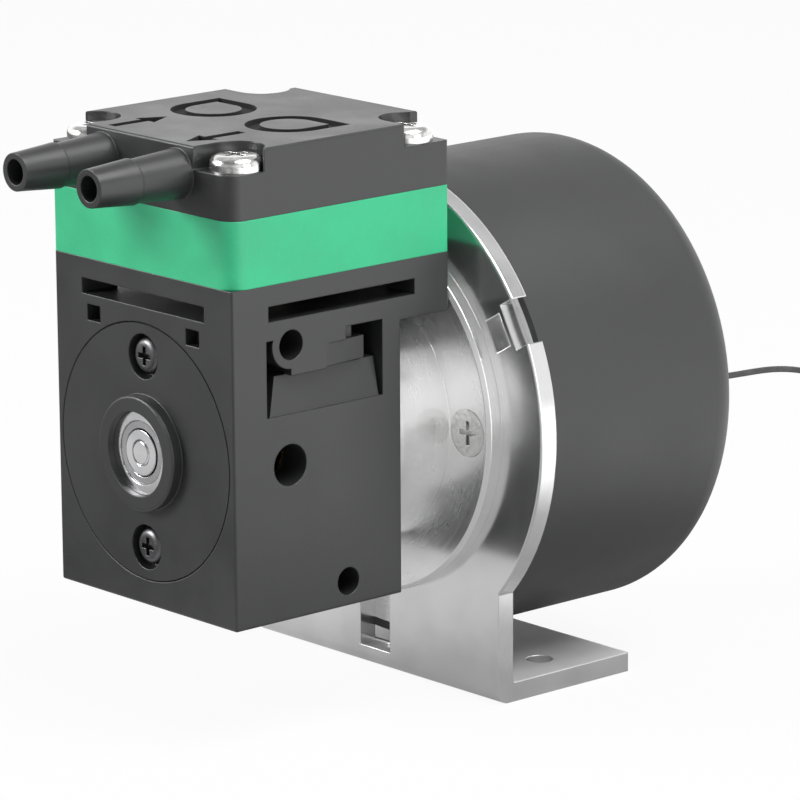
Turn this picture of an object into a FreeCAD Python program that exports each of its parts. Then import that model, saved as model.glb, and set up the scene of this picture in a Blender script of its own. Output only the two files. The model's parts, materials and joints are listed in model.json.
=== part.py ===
import FreeCAD, Part
import math
import os

import Sketcher

# Diaphragm vacuum pump with a short motor, on a bent steel mounting bracket.
# Millimetres and degrees. X is across the pump, Y runs back along the shaft from the pump to the motor,
# Z is up. The origin is the middle of the line between the two foot holes, on the foot's underside.

SIZES = {
    # Bracket: a plate with a round head, and a foot bent back under the motor.
    "can_floor_gap": 2.4,
    "foot_hole_setback": 15.0,
    "plate_thick": 3.1,
    "foot_width": 57.4,
    "foot_depth": 27.8,
    "foot_hole_radius": 2.15,
    "foot_hole_spacing": 44.0,
    "bend_outer_radius": 2.0,
    "bend_inner_radius": 0.6,
    "leg_top_share": 0.55,
    "ring_beyond_can": 0.8,
    "ring_bore_radius": 10.05,
    "plate_edge": 0.5,
    "notch_angle": 29.0,
    "notch_width": 7.3,
    "notch_depth": 3.0,
    "tab_slot_reach": 7.3,
    "tab_slot_rim": 3.9,
    "tab_slot_width": 5.2,
    "window_width": 7.0,
    "window_height": 12.0,
    # Crankcase: a square lower housing under a deeper platform.
    "case_width": 42.0,
    "case_depth": 32.9,
    "case_drop": 24.0,
    "case_edge": 0.4,
    "overhang_rise": 18.8,
    "overhang_gap": 0.5,
    "platform_thick": 9.1,
    "front_wall": 7.0,
    "rear_wall": 5.0,
    "cavity_radius": 15.5,
    "front_opening_radius": 12.5,
    "rear_opening_radius": 13.5,
    "chamber_radius": 13.5,
    "chamber_depth": 7.4,
    "rod_passage_width": 18.0,
    "rod_passage_clearance": 1.2,
    "vent_height": 2.4,
    "vent_drop": 3.2,
    "vent_length": 29.0,
    "latch_width": 3.2,
    "latch_height": 2.5,
    "latch_depth": 2.4,
    "latch_spacing": 23.4,
    "latch_drop": 7.1,
    "grub_hole_radius": 3.2,
    "cross_hole_radius": 2.15,
    "cross_hole_back": 22.2,
    "cross_hole_rise": 3.9,
    # Recess in the right side of the crankcase, with its boss, tongue, arm, step and ramp.
    "recess_front": 6.5,
    "recess_rear_wall": 3.5,
    "recess_bottom": 7.75,
    "recess_height": 11.7,
    "recess_depth": 6.0,
    "ramp_rise": 5.85,
    "ramp_start": 0.85,
    "ramp_slant": 1.9,
    "ramp_gap": 0.5,
    "ramp_top_depth": 1.6,
    "ramp_bottom_depth": 0.4,
    "boss_back": 11.3,
    "boss_rise": 18.3,
    "boss_radius": 3.65,
    "boss_hole_radius": 2.3,
    "boss_hole_depth": 9.0,
    "tongue_gap": 11.1,
    "arm_gap": 3.1,
    "arm_top": 17.4,
    "arm_bottom": 13.9,
    "arm_thick": 3.0,
    "arm_lean": 0.8,
    "shelf_gap": 7.3,
    "step_gap": 4.9,
    "step_depth": 1.5,
    "deep_length": 5.0,
    "deep_extra": 3.2,
    # Bearing cover in the front of the crankcase.
    "cover_radius": 19.85,
    "cover_gap": 0.15,
    "cover_thick": 4.0,
    "hub_radius": 8.9,
    "hub_rise": 1.9,
    "hub_back": 1.2,
    "bearing_recess": 1.1,
    "bearing_lip": 1.2,
    "cover_screw_radius": 14.8,
    "cover_counterbore_depth": 2.3,
    "cover_counterbore_radius": 3.5,
    # Intermediate plate, diaphragm and valves.
    "plate_height": 10.3,
    "near_corner": 3.0,
    "plate_corner": 0.5,
    "rim_radius": 15.6,
    "diaphragm_thick": 1.2,
    "diaphragm_rise": 1.5,
    "fold_inner_gap": 0.4,
    "fold_outer_gap": 0.6,
    "chamber_roof": 4.7,
    "valve_offset_x": 8.75,
    "valve_offset_y": 0.4,
    "valve_sheet_thick": 0.7,
    "valve_sheet_length": 34.0,
    "valve_sheet_width": 19.0,
    "flap_radius": 3.6,
    "flap_tab_width": 3.0,
    "flap_reach": 5.2,
    "flap_gap": 0.3,
    "port_radius": 2.2,
    "valve_pocket_radius": 5.0,
    "valve_pocket_depth": 2.4,
    # Head cover with its two hose barbs.
    "head_height": 10.3,
    "head_ledge": 6.8,
    "head_edge": 0.4,
    "head_screw_pitch": 33.6,
    "screw_notch_radius": 4.3,
    "front_notch_reach": 1.9,
    "rear_notch_reach": 2.8,
    "duct_radius": 6.0,
    "duct_over_bore": 0.15,
    "inlet_land": 1.9,
    "barb_spacing": 17.5,
    "barb_axis_rise": 5.7,
    "barb_length": 16.6,
    "barb_bore_radius": 1.95,
    "barb_tip_radius": 2.9,
    "barb_edge_radius": 3.5,
    "barb_edge_back": 7.6,
    "barb_neck_radius": 3.25,
    "barb_root_radius": 3.85,
    "ring_mark_radius": 6.6,
    "ring_mark_width": 2.3,
    "ring_mark_depth": 0.8,
    "ring_mark_back": 21.7,
    "arrow_front": 1.8,
    "arrow_length": 10.8,
    "arrow_head": 4.4,
    "arrow_head_width": 4.6,
    "arrow_bar_width": 1.8,
    # Adapter between the pump and the motor.
    "boss_length": 10.5,
    "adapter_boss_radius": 20.6,
    "flange_thick": 2.6,
    "flange_radius": 29.4,
    "flange_chamfer": 0.6,
    "spigot_length": 2.0,
    "spigot_gap": 0.1,
    "adapter_bore_radius": 8.0,
    "adapter_web": 4.0,
    "bracket_lip": 0.1,
    "flange_screw_radius": 24.6,
    "case_screw_radius": 16.0,
    # Motor.
    "can_radius": 37.5,
    "can_length": 41.0,
    "can_wall": 1.2,
    "can_round": 5.5,
    "can_inner_chamfer": 4.0,
    "motor_plate_thick": 5.0,
    "motor_plate_gap": 0.1,
    "bearing_tube_radius": 8.7,
    "bearing_tube_length": 26.0,
    "tube_bore_radius": 6.3,
    "board_radius": 29.0,
    "board_thick": 1.6,
    "board_back": 2.2,
    "board_hole_inset": 4.0,
    "stator_back": 7.0,
    "stator_length": 13.0,
    "stator_radius": 25.5,
    "stator_yoke_radius": 12.0,
    "tooth_width": 4.0,
    "tooth_tip": 2.0,
    "tooth_tip_width": 14.0,
    "coil_width": 7.6,
    "coil_overhang": 2.0,
    "coil_gap": 0.25,
    "coil_foot_gap": 1.6,
    "core_overlap": 1.0,
    "air_gap": 0.6,
    "magnet_thick": 3.0,
    "magnet_ahead": 1.0,
    "magnet_length": 15.0,
    "rotor_wall": 1.6,
    "rotor_hub_radius": 6.0,
    "rotor_hub_length": 5.0,
    "rotor_window_share": 0.9,
    "clip_radius": 4.6,
    "clip_thick": 0.7,
    # Shaft, crank and connecting rod.
    "journal_radius": 2.0,
    "shaft_radius": 3.0,
    "throw": 1.5,
    "journal_setback": 0.1,
    "journal_chamfer": 0.3,
    "shaft_tail": 1.0,
    "crank_collar_radius": 7.0,
    "crank_front_gap": 1.2,
    "crank_seat_radius": 6.0,
    "weight_radius": 12.6,
    "weight_front_gap": 1.6,
    "weight_length": 6.4,
    "weight_half_angle": 62.0,
    "grub_radius": 2.0,
    "grub_length": 3.8,
    "grub_back": 10.9,
    "grub_socket_radius": 1.1,
    "grub_socket_depth": 1.6,
    "rod_thick": 6.0,
    "rod_eye_radius": 13.0,
    "rod_neck_width": 9.0,
    "rod_flute": 1.6,
    "rod_disc_radius": 8.8,
    "rod_disc_rim": 1.6,
    "rod_disc_depth": 4.6,
    "rod_disc_taper": 0.8,
    "rod_disc_edge": 0.6,
    "rod_neck_start": 1.0,
    "rod_neck_overlap": 0.5,
    "rod_web": 1.8,
    "rod_flute_gap": 1.4,
    "rod_flute_end": 0.6,
    "rod_shoulder_share": 0.7,
    "clamp_disc_radius": 8.0,
    "clamp_disc_thick": 1.5,
    "clamp_disc_edge": 0.6,
    "clamp_sink_floor": 0.3,
    "clamp_slot_depth": 0.5,
    "clamp_slot_share": 0.8,
    "clamp_screw_length": 9.0,
    # Ball bearings, each with its bore, outside, width, ball size and number of balls.
    "front_ball_bore": 2.0,
    "front_ball_outer": 6.5,
    "front_ball_width": 5.0,
    "front_ball_radius": 1.15,
    "rod_ball_bore": 6.0,
    "rod_ball_outer": 10.5,
    "rod_ball_width": 5.0,
    "rod_ball_radius": 1.2,
    "motor_ball_bore": 3.0,
    "motor_ball_outer": 7.5,
    "motor_ball_width": 5.0,
    "motor_ball_radius": 1.3,
    "ball_clearance": 0.03,
    "groove_depth": 0.45,
    "shield_thick": 0.3,
    "cage_front_share": 0.4,
    "cage_length_share": 1.7,
    "shield_gap": 0.2,
    "cage_clearance": 0.12,
    "cage_half_width": 0.5,
    "seat_gap": 0.02,
    # Screws.
    "large_screw_radius": 2.0,
    "large_head_radius": 4.0,
    "large_head_height": 2.4,
    "head_screw_length": 25.0,
    "small_screw_radius": 1.5,
    "small_head_radius": 2.9,
    "small_head_height": 2.1,
    "cover_screw_length": 4.6,
    "case_screw_length": 8.6,
    "sunk_head_radius": 3.75,
    "sunk_head_height": 1.75,
    "flange_screw_length": 9.8,
    "head_round_share": 0.6,
    "cross_width": 0.8,
    "cross_length": 4.0,
    "cross_depth": 1.3,
    "screw_gap": 0.05,
    "hole_gap": 0.15,
    # Motor lead, with its grommet, coil, tie and connector.
    "grommet_inset": 12.5,
    "grommet_rise": 0.6,
    "grommet_radius": 2.6,
    "grommet_flange_radius": 3.6,
    "grommet_flange": 1.0,
    "grommet_neck": 1.6,
    "grommet_nose_share": 3.0,
    "grommet_edge_share": 0.6,
    "lead_radius": 0.5,
    "coil_mean_radius": 5.5,
    "coil_section": 3.2,
    "coil_lead_height": 3.2,
    "connector_width": 6.4,
    "connector_height": 4.0,
    "connector_length": 8.0,
    "connector_wall": 0.8,
    "socket_depth": 5.0,
    "pin_radius": 0.4,
    "pin_spacing": 2.5,
    "tie_width": 2.0,
    "tie_thick": 0.4,
    "tie_gap": 0.2,
    "tie_head_share": 0.7,
}

FRONT_BALL_COUNT = 7
ROD_BALL_COUNT = 11
MOTOR_BALL_COUNT = 7
TOOTH_COUNT = 9
WINDOW_COUNT = 6
COVER_SCREW_COUNT = 2
CORNER_SCREW_COUNT = 4
PIN_COUNT = 2

# The lead's route from where it leaves the can: across, back and down from the grommet at first, then across,
# back and up from the floor.
LEAD_BY_CAN = [
    (0.0, -2.6, 0.0),
    (0.0, 10.0, 0.0),
    (0.1, 20.4, 0.6),
]
LEAD_ON_FLOOR = [
    (0.5, 28.4, 38.4),
    (1.0, 34.0, 29.6),
    (1.8, 38.2, 19.4),
    (2.6, 42.4, 9.8),
    (3.6, 48.0, 2.7),
    (4.8, 55.4, 0.5),
    (5.3, 62.0, 0.5),
]
TAIL_ON_FLOOR = [
    (5.2, 66.0, 3.1),
    (5.3, 70.6, 1.6),
    (6.3, 75.0, 1.1),
    (8.2, 78.8, 2.0),
]
COIL_PLACE = (11.0, 63.8)

doc = FreeCAD.newDocument("DiaphragmPump")
sheet = doc.addObject("Spreadsheet::Sheet", "Sizes")
for row, (alias, number) in enumerate(SIZES.items(), start=1):
    sheet.set(f"A{row}", alias.replace("_", " "))
    sheet.set(f"B{row}", str(number))
    sheet.setAlias(f"B{row}", alias)
doc.recompute()


class Size:
    """A length in mm or an angle in degrees, with the formula on the sheet that gives it."""

    def __init__(self, value, text):
        self.value = value
        self.text = text

    def __add__(self, other):
        other = as_size(other)
        return Size(self.value + other.value, f"({self.text} + {other.text})")

    def __sub__(self, other):
        other = as_size(other)
        return Size(self.value - other.value, f"({self.text} - {other.text})")

    def __mul__(self, other):
        other = as_size(other)
        return Size(self.value * other.value, f"({self.text} * {other.text})")

    def __truediv__(self, other):
        other = as_size(other)
        return Size(self.value / other.value, f"({self.text} / {other.text})")

    def __radd__(self, other):
        return as_size(other) + self

    def __rsub__(self, other):
        return as_size(other) - self

    def __rmul__(self, other):
        return as_size(other) * self

    def __neg__(self):
        return as_size(-1) * self


def as_size(number):
    """The number as a Size, unless it is one."""
    if isinstance(number, Size):
        return number
    return Size(float(number), f"({float(number):.6f})")


def cosine(angle):
    angle = as_size(angle)
    return Size(math.cos(math.radians(angle.value)), f"cos({angle.text} * 1 deg)")


def sine(angle):
    angle = as_size(angle)
    return Size(math.sin(math.radians(angle.value)), f"sin({angle.text} * 1 deg)")


def diagonal(first, second):
    """The long side of a right triangle."""
    return Size(math.hypot(first.value, second.value), f"sqrt({first.text} ^ 2 + {second.text} ^ 2)")


class Sheet:
    """The sizes by name, as they are on the sheet."""

    def __getattr__(self, alias):
        return Size(float(sheet.get(alias)), f"Sizes.{alias}")


s = Sheet()
nodes = {}


def body(name, x=0, y=0, z=0):
    """A new body whose own origin lies at (x, y, z)."""
    item = doc.addObject("PartDesign::Body", name)
    item.Label = name
    for axis, value in (("x", x), ("y", y), ("z", z)):
        item.setExpression(f"Placement.Base.{axis}", as_size(value).text)
    nodes[name] = item
    return item


def origin_feature(item, role):
    """One of the body's own origin planes or axes."""
    return [feature for feature in item.Origin.OriginFeatures if feature.Role == role][0]


def hold(sketch, kind, geometry, point, value):
    """Keeps a point at a distance from the sketch's origin along one axis."""
    value = as_size(value)
    if value.text == as_size(0).text:
        axis = -2 if kind == "DistanceX" else -1
        sketch.addConstraint(Sketcher.Constraint("PointOnObject", geometry, point, axis))
        return
    index = sketch.addConstraint(Sketcher.Constraint(kind, -1, 1, geometry, point, value.value))
    sketch.setExpression(f"Constraints[{index}]", value.text)


def hold_radius(sketch, geometry, value):
    index = sketch.addConstraint(Sketcher.Constraint("Radius", geometry, value.value))
    sketch.setExpression(f"Constraints[{index}]", value.text)


def flat(*point):
    """A point of the sketch's plane as a vector."""
    x, y = (as_size(number).value for number in point)
    return FreeCAD.Vector(x, y, 0)


def draw_outline(sketch, corners):
    """A closed chain of straight lines through the corners."""
    first = sketch.GeometryCount
    count = len(corners)
    for index in range(count):
        line = Part.LineSegment(flat(*corners[index]), flat(*corners[(index + 1) % count]))
        sketch.addGeometry(line, False)
    for index in range(count):
        joint = Sketcher.Constraint("Coincident", first + index, 2, first + (index + 1) % count, 1)
        sketch.addConstraint(joint)
    for index, (x, y) in enumerate(corners):
        hold(sketch, "DistanceX", first + index, 1, x)
        hold(sketch, "DistanceY", first + index, 1, y)


def draw_circle(sketch, x, y, radius):
    index = sketch.GeometryCount
    circle = Part.Circle(flat(x, y), FreeCAD.Vector(0, 0, 1), as_size(radius).value)
    sketch.addGeometry(circle, False)
    hold(sketch, "DistanceX", index, 3, x)
    hold(sketch, "DistanceY", index, 3, y)
    hold_radius(sketch, index, as_size(radius))


def draw_drop(sketch, x, y, radius, side):
    """Three quarters of a circle closed by two lines that meet in one square corner, rear and to one side."""
    index = sketch.GeometryCount
    x, y, radius = as_size(x), as_size(y), as_size(radius)
    circle = Part.Circle(flat(x, y), FreeCAD.Vector(0, 0, 1), radius.value)
    start, end = (math.pi / 2, 2 * math.pi) if side > 0 else (math.pi, 2.5 * math.pi)
    sketch.addGeometry(Part.ArcOfCircle(circle, start, end), False)
    top, beside = (1, 2) if side > 0 else (2, 1)
    corner = flat(x + side * radius, y + radius)
    sketch.addGeometry(Part.LineSegment(flat(x, y + radius), corner), False)
    sketch.addGeometry(Part.LineSegment(corner, flat(x + side * radius, y)), False)
    sketch.addConstraint(Sketcher.Constraint("Coincident", index, top, index + 1, 1))
    sketch.addConstraint(Sketcher.Constraint("Coincident", index + 1, 2, index + 2, 1))
    sketch.addConstraint(Sketcher.Constraint("Coincident", index + 2, 2, index, beside))
    hold(sketch, "DistanceX", index, 3, x)
    hold(sketch, "DistanceY", index, 3, y)
    hold_radius(sketch, index, radius)
    hold(sketch, "DistanceX", index, top, x)
    hold(sketch, "DistanceY", index, beside, y)
    hold(sketch, "DistanceX", index + 2, 1, x + side * radius)
    hold(sketch, "DistanceY", index + 2, 1, y + radius)


def box_corners(x_low, x_high, y_low, y_high):
    return [(x_low, y_low), (x_high, y_low), (x_high, y_high), (x_low, y_high)]


def draw(item, role, start, loops):
    """A sketch on one of the body's origin planes, moved along the plane's own row axis to start."""
    sketch = item.newObject("Sketcher::SketchObject", f"{item.Name}_sketch")
    sketch.AttachmentSupport = [(origin_feature(item, role), "")]
    sketch.MapMode = "FlatFace"
    along = -as_size(start) if role == "XZ_Plane" else as_size(start)
    sketch.setExpression("AttachmentOffset.Base.z", along.text)
    for kind, *shape in loops:
        if kind == "outline":
            draw_outline(sketch, *shape)
        elif kind == "drop":
            draw_drop(sketch, *shape)
        else:
            draw_circle(sketch, *shape)
    return sketch


def pad(item, role, start, length, loops):
    """Adds the loops, drawn at start, along the positive row axis."""
    feature = item.newObject("PartDesign::Pad", f"{item.Name}_pad")
    feature.Profile = draw(item, role, start, loops)
    feature.setExpression("Length", as_size(length).text)
    feature.Reversed = role == "XZ_Plane"
    return feature


def pocket(item, role, start, length, loops):
    """Cuts the loops, drawn at start, along the positive row axis."""
    feature = item.newObject("PartDesign::Pocket", f"{item.Name}_pocket")
    feature.Profile = draw(item, role, start, loops)
    feature.setExpression("Length", as_size(length).text)
    feature.Reversed = role != "XZ_Plane"
    return feature


def turn(item, loops, role="YZ_Plane", axis="H_Axis", kind="Revolution", offset=0):
    """Turns the loops about an axis of their sketch: H_Axis is Y on the YZ plane, V_Axis is Z."""
    sketch = draw(item, role, offset, loops)
    feature = item.newObject(f"PartDesign::{kind}", f"{item.Name}_turn")
    feature.Profile = sketch
    feature.ReferenceAxis = (sketch, [axis])
    feature.Angle = 360
    return feature


def turn_beside(item, role, start, first, second, corners, kind="Revolution"):
    """Turns the corners about the line through two points of their own sketch."""
    sketch = draw(item, role, start, [])
    sketch.addGeometry(Part.LineSegment(flat(*first), flat(*second)), True)
    for point, place in ((1, first), (2, second)):
        hold(sketch, "DistanceX", 0, point, place[0])
        hold(sketch, "DistanceY", 0, point, place[1])
    draw_outline(sketch, corners)
    feature = item.newObject(f"PartDesign::{kind}", f"{item.Name}_turn")
    feature.Profile = sketch
    feature.ReferenceAxis = (sketch, ["Axis0"])
    feature.Angle = 360


def on_edges(item, kind, size, chosen):
    """Rounds or chamfers the edges that are chosen by their middle point and curve."""
    doc.recompute()
    last = item.Tip
    edges = last.Shape.Edges
    names = [f"Edge{number}" for number, edge in enumerate(edges, start=1) if chosen(edge)]
    feature = item.newObject(f"PartDesign::{kind}", f"{item.Name}_{kind.lower()}")
    feature.Base = (last, names)
    feature.setExpression("Radius" if kind == "Fillet" else "Size", as_size(size).text)
    return feature


def middle(edge):
    return edge.valueAt((edge.FirstParameter + edge.LastParameter) / 2)


def near(a, b):
    return abs(as_size(a).value - as_size(b).value) < 0.001


def repeat_round(item, role, count):
    """Copies all that the body holds round one of its own axes."""
    doc.recompute()
    feature = item.newObject("PartDesign::PolarPattern", f"{item.Name}_pattern")
    feature.TransformMode = "Whole shape"
    feature.Axis = (origin_feature(item, role), [""])
    feature.Angle = 360
    feature.Occurrences = count
    item.Tip = feature
    return feature


def head_towards(item, direction):
    """Turns a screw body, whose heads point up in its own frame, towards the front or the rear."""
    angle = 90 if direction == "front" else -90
    item.Placement.Rotation = FreeCAD.Rotation(FreeCAD.Vector(1, 0, 0), angle)


def screw(item, circle, turned, head_radius, head_height, radius, length, sunk=False):
    """One cross-recessed screw beside the body's Z axis; its head stands on the body's XY plane."""
    x = circle * cosine(turned)
    y = circle * sine(turned)
    if sunk:
        turn_beside(item, "XZ_Plane", 0, (x, 0), (x, 1), [
            (x, -length),
            (x + radius, -length),
            (x + radius, 0),
            (x + head_radius, head_height),
            (x, head_height),
        ])
    else:
        pad(item, "XY_Plane", 0, head_height, [("circle", x, y, head_radius)])
        on_edges(
            item,
            "Fillet",
            head_height * s.head_round_share,
            lambda edge: near(middle(edge).z, head_height) and edge.Closed,
        )
        pad(item, "XY_Plane", -length, length, [("circle", x, y, radius)])
    half_bar = s.cross_width / 2
    reach = s.cross_length * (head_radius / s.large_head_radius) / 2
    plus = [
        (x + half_bar, y + half_bar),
        (x + half_bar, y + reach),
        (x - half_bar, y + reach),
        (x - half_bar, y + half_bar),
        (x - reach, y + half_bar),
        (x - reach, y - half_bar),
        (x - half_bar, y - half_bar),
        (x - half_bar, y - reach),
        (x + half_bar, y - reach),
        (x + half_bar, y - half_bar),
        (x + reach, y - half_bar),
        (x + reach, y + half_bar),
    ]
    pocket(item, "XY_Plane", head_height - s.cross_depth, s.cross_depth, [("outline", plus)])


def ring(name, y, inner, outer, length):
    """A plain turned ring on the shaft's line, from y backwards."""
    item = body(name, 0, y, axis_height)
    turn(item, [("outline", box_corners(0, length, inner, outer))])
    return item


# Sizes that follow from others.
axis_height = s.can_radius + s.plate_thick + s.can_floor_gap
ring_radius = s.can_radius + s.ring_beyond_can
platform_depth = s.case_depth + s.boss_length - s.overhang_gap
recess_rear = s.case_depth - s.recess_rear_wall
duct_top = s.barb_axis_rise + s.barb_bore_radius + s.duct_over_bore
grommet_x = s.can_radius - s.grommet_inset

# Places along the shaft, from the foot holes forwards and then backwards.
plate_front = -s.foot_hole_setback
flange_front = plate_front - s.flange_thick
case_rear = flange_front - s.boss_length
case_front = case_rear - s.case_depth
head_middle = case_front + platform_depth / 2
can_rear = plate_front + s.plate_thick + s.can_length
motor_front = plate_front + s.plate_thick
cavity_rear = s.case_depth - s.rear_wall
bearing_front = case_front - s.hub_rise + s.bearing_recess
rod_middle = platform_depth / 2
rod_front = rod_middle - s.rod_thick / 2
platform_top = s.overhang_rise + s.platform_thick
half_width = s.case_width / 2
head_half_pitch = s.head_screw_pitch / 2
head_base = axis_height + platform_top + s.plate_height
tube_front = motor_front + s.motor_plate_thick
tube_rear = tube_front + s.bearing_tube_length


def corner_circles(x_middle, y_middle, radius):
    """Circles at the four head screws."""
    return [
        ("circle", x_middle + x * head_half_pitch, y_middle + y * head_half_pitch, radius)
        for x in (-1, 1)
        for y in (-1, 1)
    ]


def polar_circles(circle, first, count, radius):
    """Circles evenly round the sketch's origin."""
    step = 360 / count
    return [
        ("circle", circle * cosine(first + step * number), circle * sine(first + step * number), radius)
        for number in range(count)
    ]


def make_crankcase():
    item = body("crankcase", 0, case_front, axis_height)
    side = [
        (0, -s.case_drop),
        (s.case_depth, -s.case_drop),
        (s.case_depth, s.overhang_rise),
        (platform_depth, s.overhang_rise),
        (platform_depth, platform_top),
        (0, platform_top),
    ]
    pad(item, "YZ_Plane", -half_width, s.case_width, [("outline", side)])

    def outside(edge):
        point = middle(edge)
        upright = near(abs(point.x), half_width) and (near(point.y, 0) or near(point.y, platform_depth))
        below = near(point.z, -s.case_drop) and not near(point.y, s.case_depth)
        return (upright and not near(point.z, platform_top) and not near(point.z, s.overhang_rise)) or below

    on_edges(item, "Fillet", s.case_edge, outside)
    pocket(item, "XZ_Plane", 0, s.cover_thick, [("circle", 0, 0, s.cover_radius + s.cover_gap)])
    pocket(item, "XZ_Plane", 0, s.front_wall, [("circle", 0, 0, s.front_opening_radius)])
    pocket(item, "XZ_Plane", s.front_wall, cavity_rear - s.front_wall, [("circle", 0, 0, s.cavity_radius)])
    pocket(item, "XZ_Plane", cavity_rear, s.rear_wall, [("circle", 0, 0, s.rear_opening_radius)])
    chamber_floor = platform_top - s.chamber_depth
    pocket(item, "XY_Plane", chamber_floor, s.chamber_depth, [("circle", 0, rod_middle, s.chamber_radius)])
    passage = box_corners(
        -s.rod_passage_width / 2,
        s.rod_passage_width / 2,
        rod_front - s.rod_passage_clearance,
        rod_front + s.rod_thick + s.rod_passage_clearance,
    )
    pocket(item, "XY_Plane", 0, chamber_floor, [("outline", passage)])
    vent_top = platform_top - s.vent_drop
    half_vent = s.vent_length / 2
    vent_floor = vent_top - s.vent_height
    front_vent = box_corners(-half_vent, half_vent, vent_floor, vent_top)
    side_vent = box_corners(rod_middle - half_vent, rod_middle + half_vent, vent_floor, vent_top)
    pocket(item, "XZ_Plane", 0, platform_depth, [("outline", front_vent)])
    pocket(item, "YZ_Plane", -half_width, s.case_width, [("outline", side_vent)])
    latch_top = platform_top - s.latch_drop
    latches = [
        ("outline", box_corners(
            side * s.latch_spacing / 2 - s.latch_width / 2,
            side * s.latch_spacing / 2 + s.latch_width / 2,
            latch_top - s.latch_height,
            latch_top,
        ))
        for side in (-1, 1)
    ]
    pocket(item, "XZ_Plane", 0, s.latch_depth, latches)
    cross_hole = [("circle", s.cross_hole_back, s.cross_hole_rise - s.case_drop, s.cross_hole_radius)]
    pocket(item, "YZ_Plane", -half_width, s.case_width, cross_hole)
    pocket(item, "YZ_Plane", 0, half_width, [("circle", s.grub_back, 0, s.grub_hole_radius)])
    boss_room = [("circle", 0, 0, s.adapter_boss_radius + s.hole_gap)]
    pocket(item, "XZ_Plane", s.case_depth, platform_depth - s.case_depth, boss_room)
    add_side_recess(item)
    thread_depth = s.head_screw_length - (s.head_ledge + s.plate_height) + s.hole_gap
    tapped = corner_circles(0, rod_middle, s.large_screw_radius + s.screw_gap)
    pocket(item, "XY_Plane", platform_top - thread_depth, thread_depth, tapped)
    cover_taps = [
        ("circle", 0, side * s.cover_screw_radius, s.small_screw_radius + s.screw_gap) for side in (-1, 1)
    ]
    pocket(item, "XZ_Plane", s.cover_thick, s.front_wall - s.cover_thick, cover_taps)
    rear_taps = polar_circles(s.case_screw_radius, 45, CORNER_SCREW_COUNT, s.small_screw_radius + s.screw_gap)
    pocket(item, "XZ_Plane", cavity_rear, s.rear_wall, rear_taps)


def add_side_recess(item):
    """The open recess in the right side: a flush boss and tongue, a leaning arm, a step and a ramp."""
    floor = half_width - s.recess_depth
    bottom = s.recess_bottom
    top = bottom + s.recess_height
    ramp_top = bottom + s.ramp_rise
    mouth = box_corners(s.recess_front, recess_rear, bottom, top)
    pocket(item, "YZ_Plane", floor, s.recess_depth, [("outline", mouth)])
    ramp_front = s.recess_front + s.ramp_start
    slope = [
        (floor, bottom),
        (half_width - s.ramp_bottom_depth, bottom),
        (half_width - s.ramp_top_depth, ramp_top),
        (floor, ramp_top),
    ]
    pad(item, "XZ_Plane", ramp_front, recess_rear - s.ramp_gap - ramp_front, [("outline", slope)])
    slant = [
        (ramp_front, bottom),
        (ramp_front + s.ramp_slant, ramp_top),
        (ramp_front, ramp_top),
    ]
    pocket(item, "YZ_Plane", floor, s.recess_depth, [("outline", slant)])
    pad(item, "YZ_Plane", floor, s.recess_depth, [("circle", s.boss_back, s.boss_rise, s.boss_radius)])
    tongue_rear = recess_rear - s.tongue_gap
    shelf_rear = recess_rear - s.shelf_gap
    tongue = [
        (s.boss_back, ramp_top),
        (tongue_rear, ramp_top),
        (tongue_rear, s.arm_top),
        (shelf_rear, s.arm_top),
        (shelf_rear, top),
        (s.boss_back, top),
    ]
    pad(item, "YZ_Plane", floor, s.recess_depth, [("outline", tongue)])
    step = box_corners(shelf_rear, recess_rear - s.step_gap, s.arm_top, top)
    pad(item, "YZ_Plane", floor, s.recess_depth - s.step_depth, [("outline", step)])
    arm_rear = recess_rear - s.arm_gap
    arm = [
        (floor, tongue_rear),
        (half_width, tongue_rear),
        (half_width - s.arm_lean, arm_rear),
        (half_width - s.arm_lean - s.arm_thick, arm_rear),
    ]
    pad(item, "XY_Plane", s.arm_bottom, s.arm_top - s.arm_bottom, [("outline", arm)])
    deep = box_corners(recess_rear - s.deep_length, recess_rear, ramp_top, top)
    pocket(item, "YZ_Plane", floor - s.deep_extra, s.deep_extra, [("outline", deep)])
    hole = [("circle", s.boss_back, s.boss_rise, s.boss_hole_radius)]
    pocket(item, "YZ_Plane", half_width - s.boss_hole_depth, s.boss_hole_depth, hole)


def make_bearing_cover():
    item = body("bearing_cover", 0, case_front, axis_height)
    seat = s.front_ball_outer + s.seat_gap
    bearing_rear = -s.hub_rise + s.bearing_recess + s.front_ball_width + s.seat_gap
    section = [
        (-s.hub_rise, seat),
        (-s.hub_rise, s.hub_radius),
        (0, s.hub_radius),
        (0, s.cover_radius),
        (s.cover_thick, s.cover_radius),
        (s.cover_thick, s.hub_radius),
        (bearing_rear + s.hub_back, s.hub_radius),
        (bearing_rear + s.hub_back, seat - s.bearing_lip),
        (bearing_rear, seat - s.bearing_lip),
        (bearing_rear, seat),
    ]
    turn(item, [("outline", section)])
    heads = [("circle", 0, side * s.cover_screw_radius, s.cover_counterbore_radius) for side in (-1, 1)]
    shanks = [
        ("circle", 0, side * s.cover_screw_radius, s.small_screw_radius + s.hole_gap) for side in (-1, 1)
    ]
    pocket(item, "XZ_Plane", 0, s.cover_counterbore_depth, heads)
    pocket(item, "XZ_Plane", 0, s.cover_thick, shanks)
    on_edges(
        item,
        "Fillet",
        s.case_edge,
        lambda edge: (
            edge.Closed and near(edge.Curve.Radius, s.hub_radius) and near(middle(edge).y, -s.hub_rise)
        ),
    )


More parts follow.
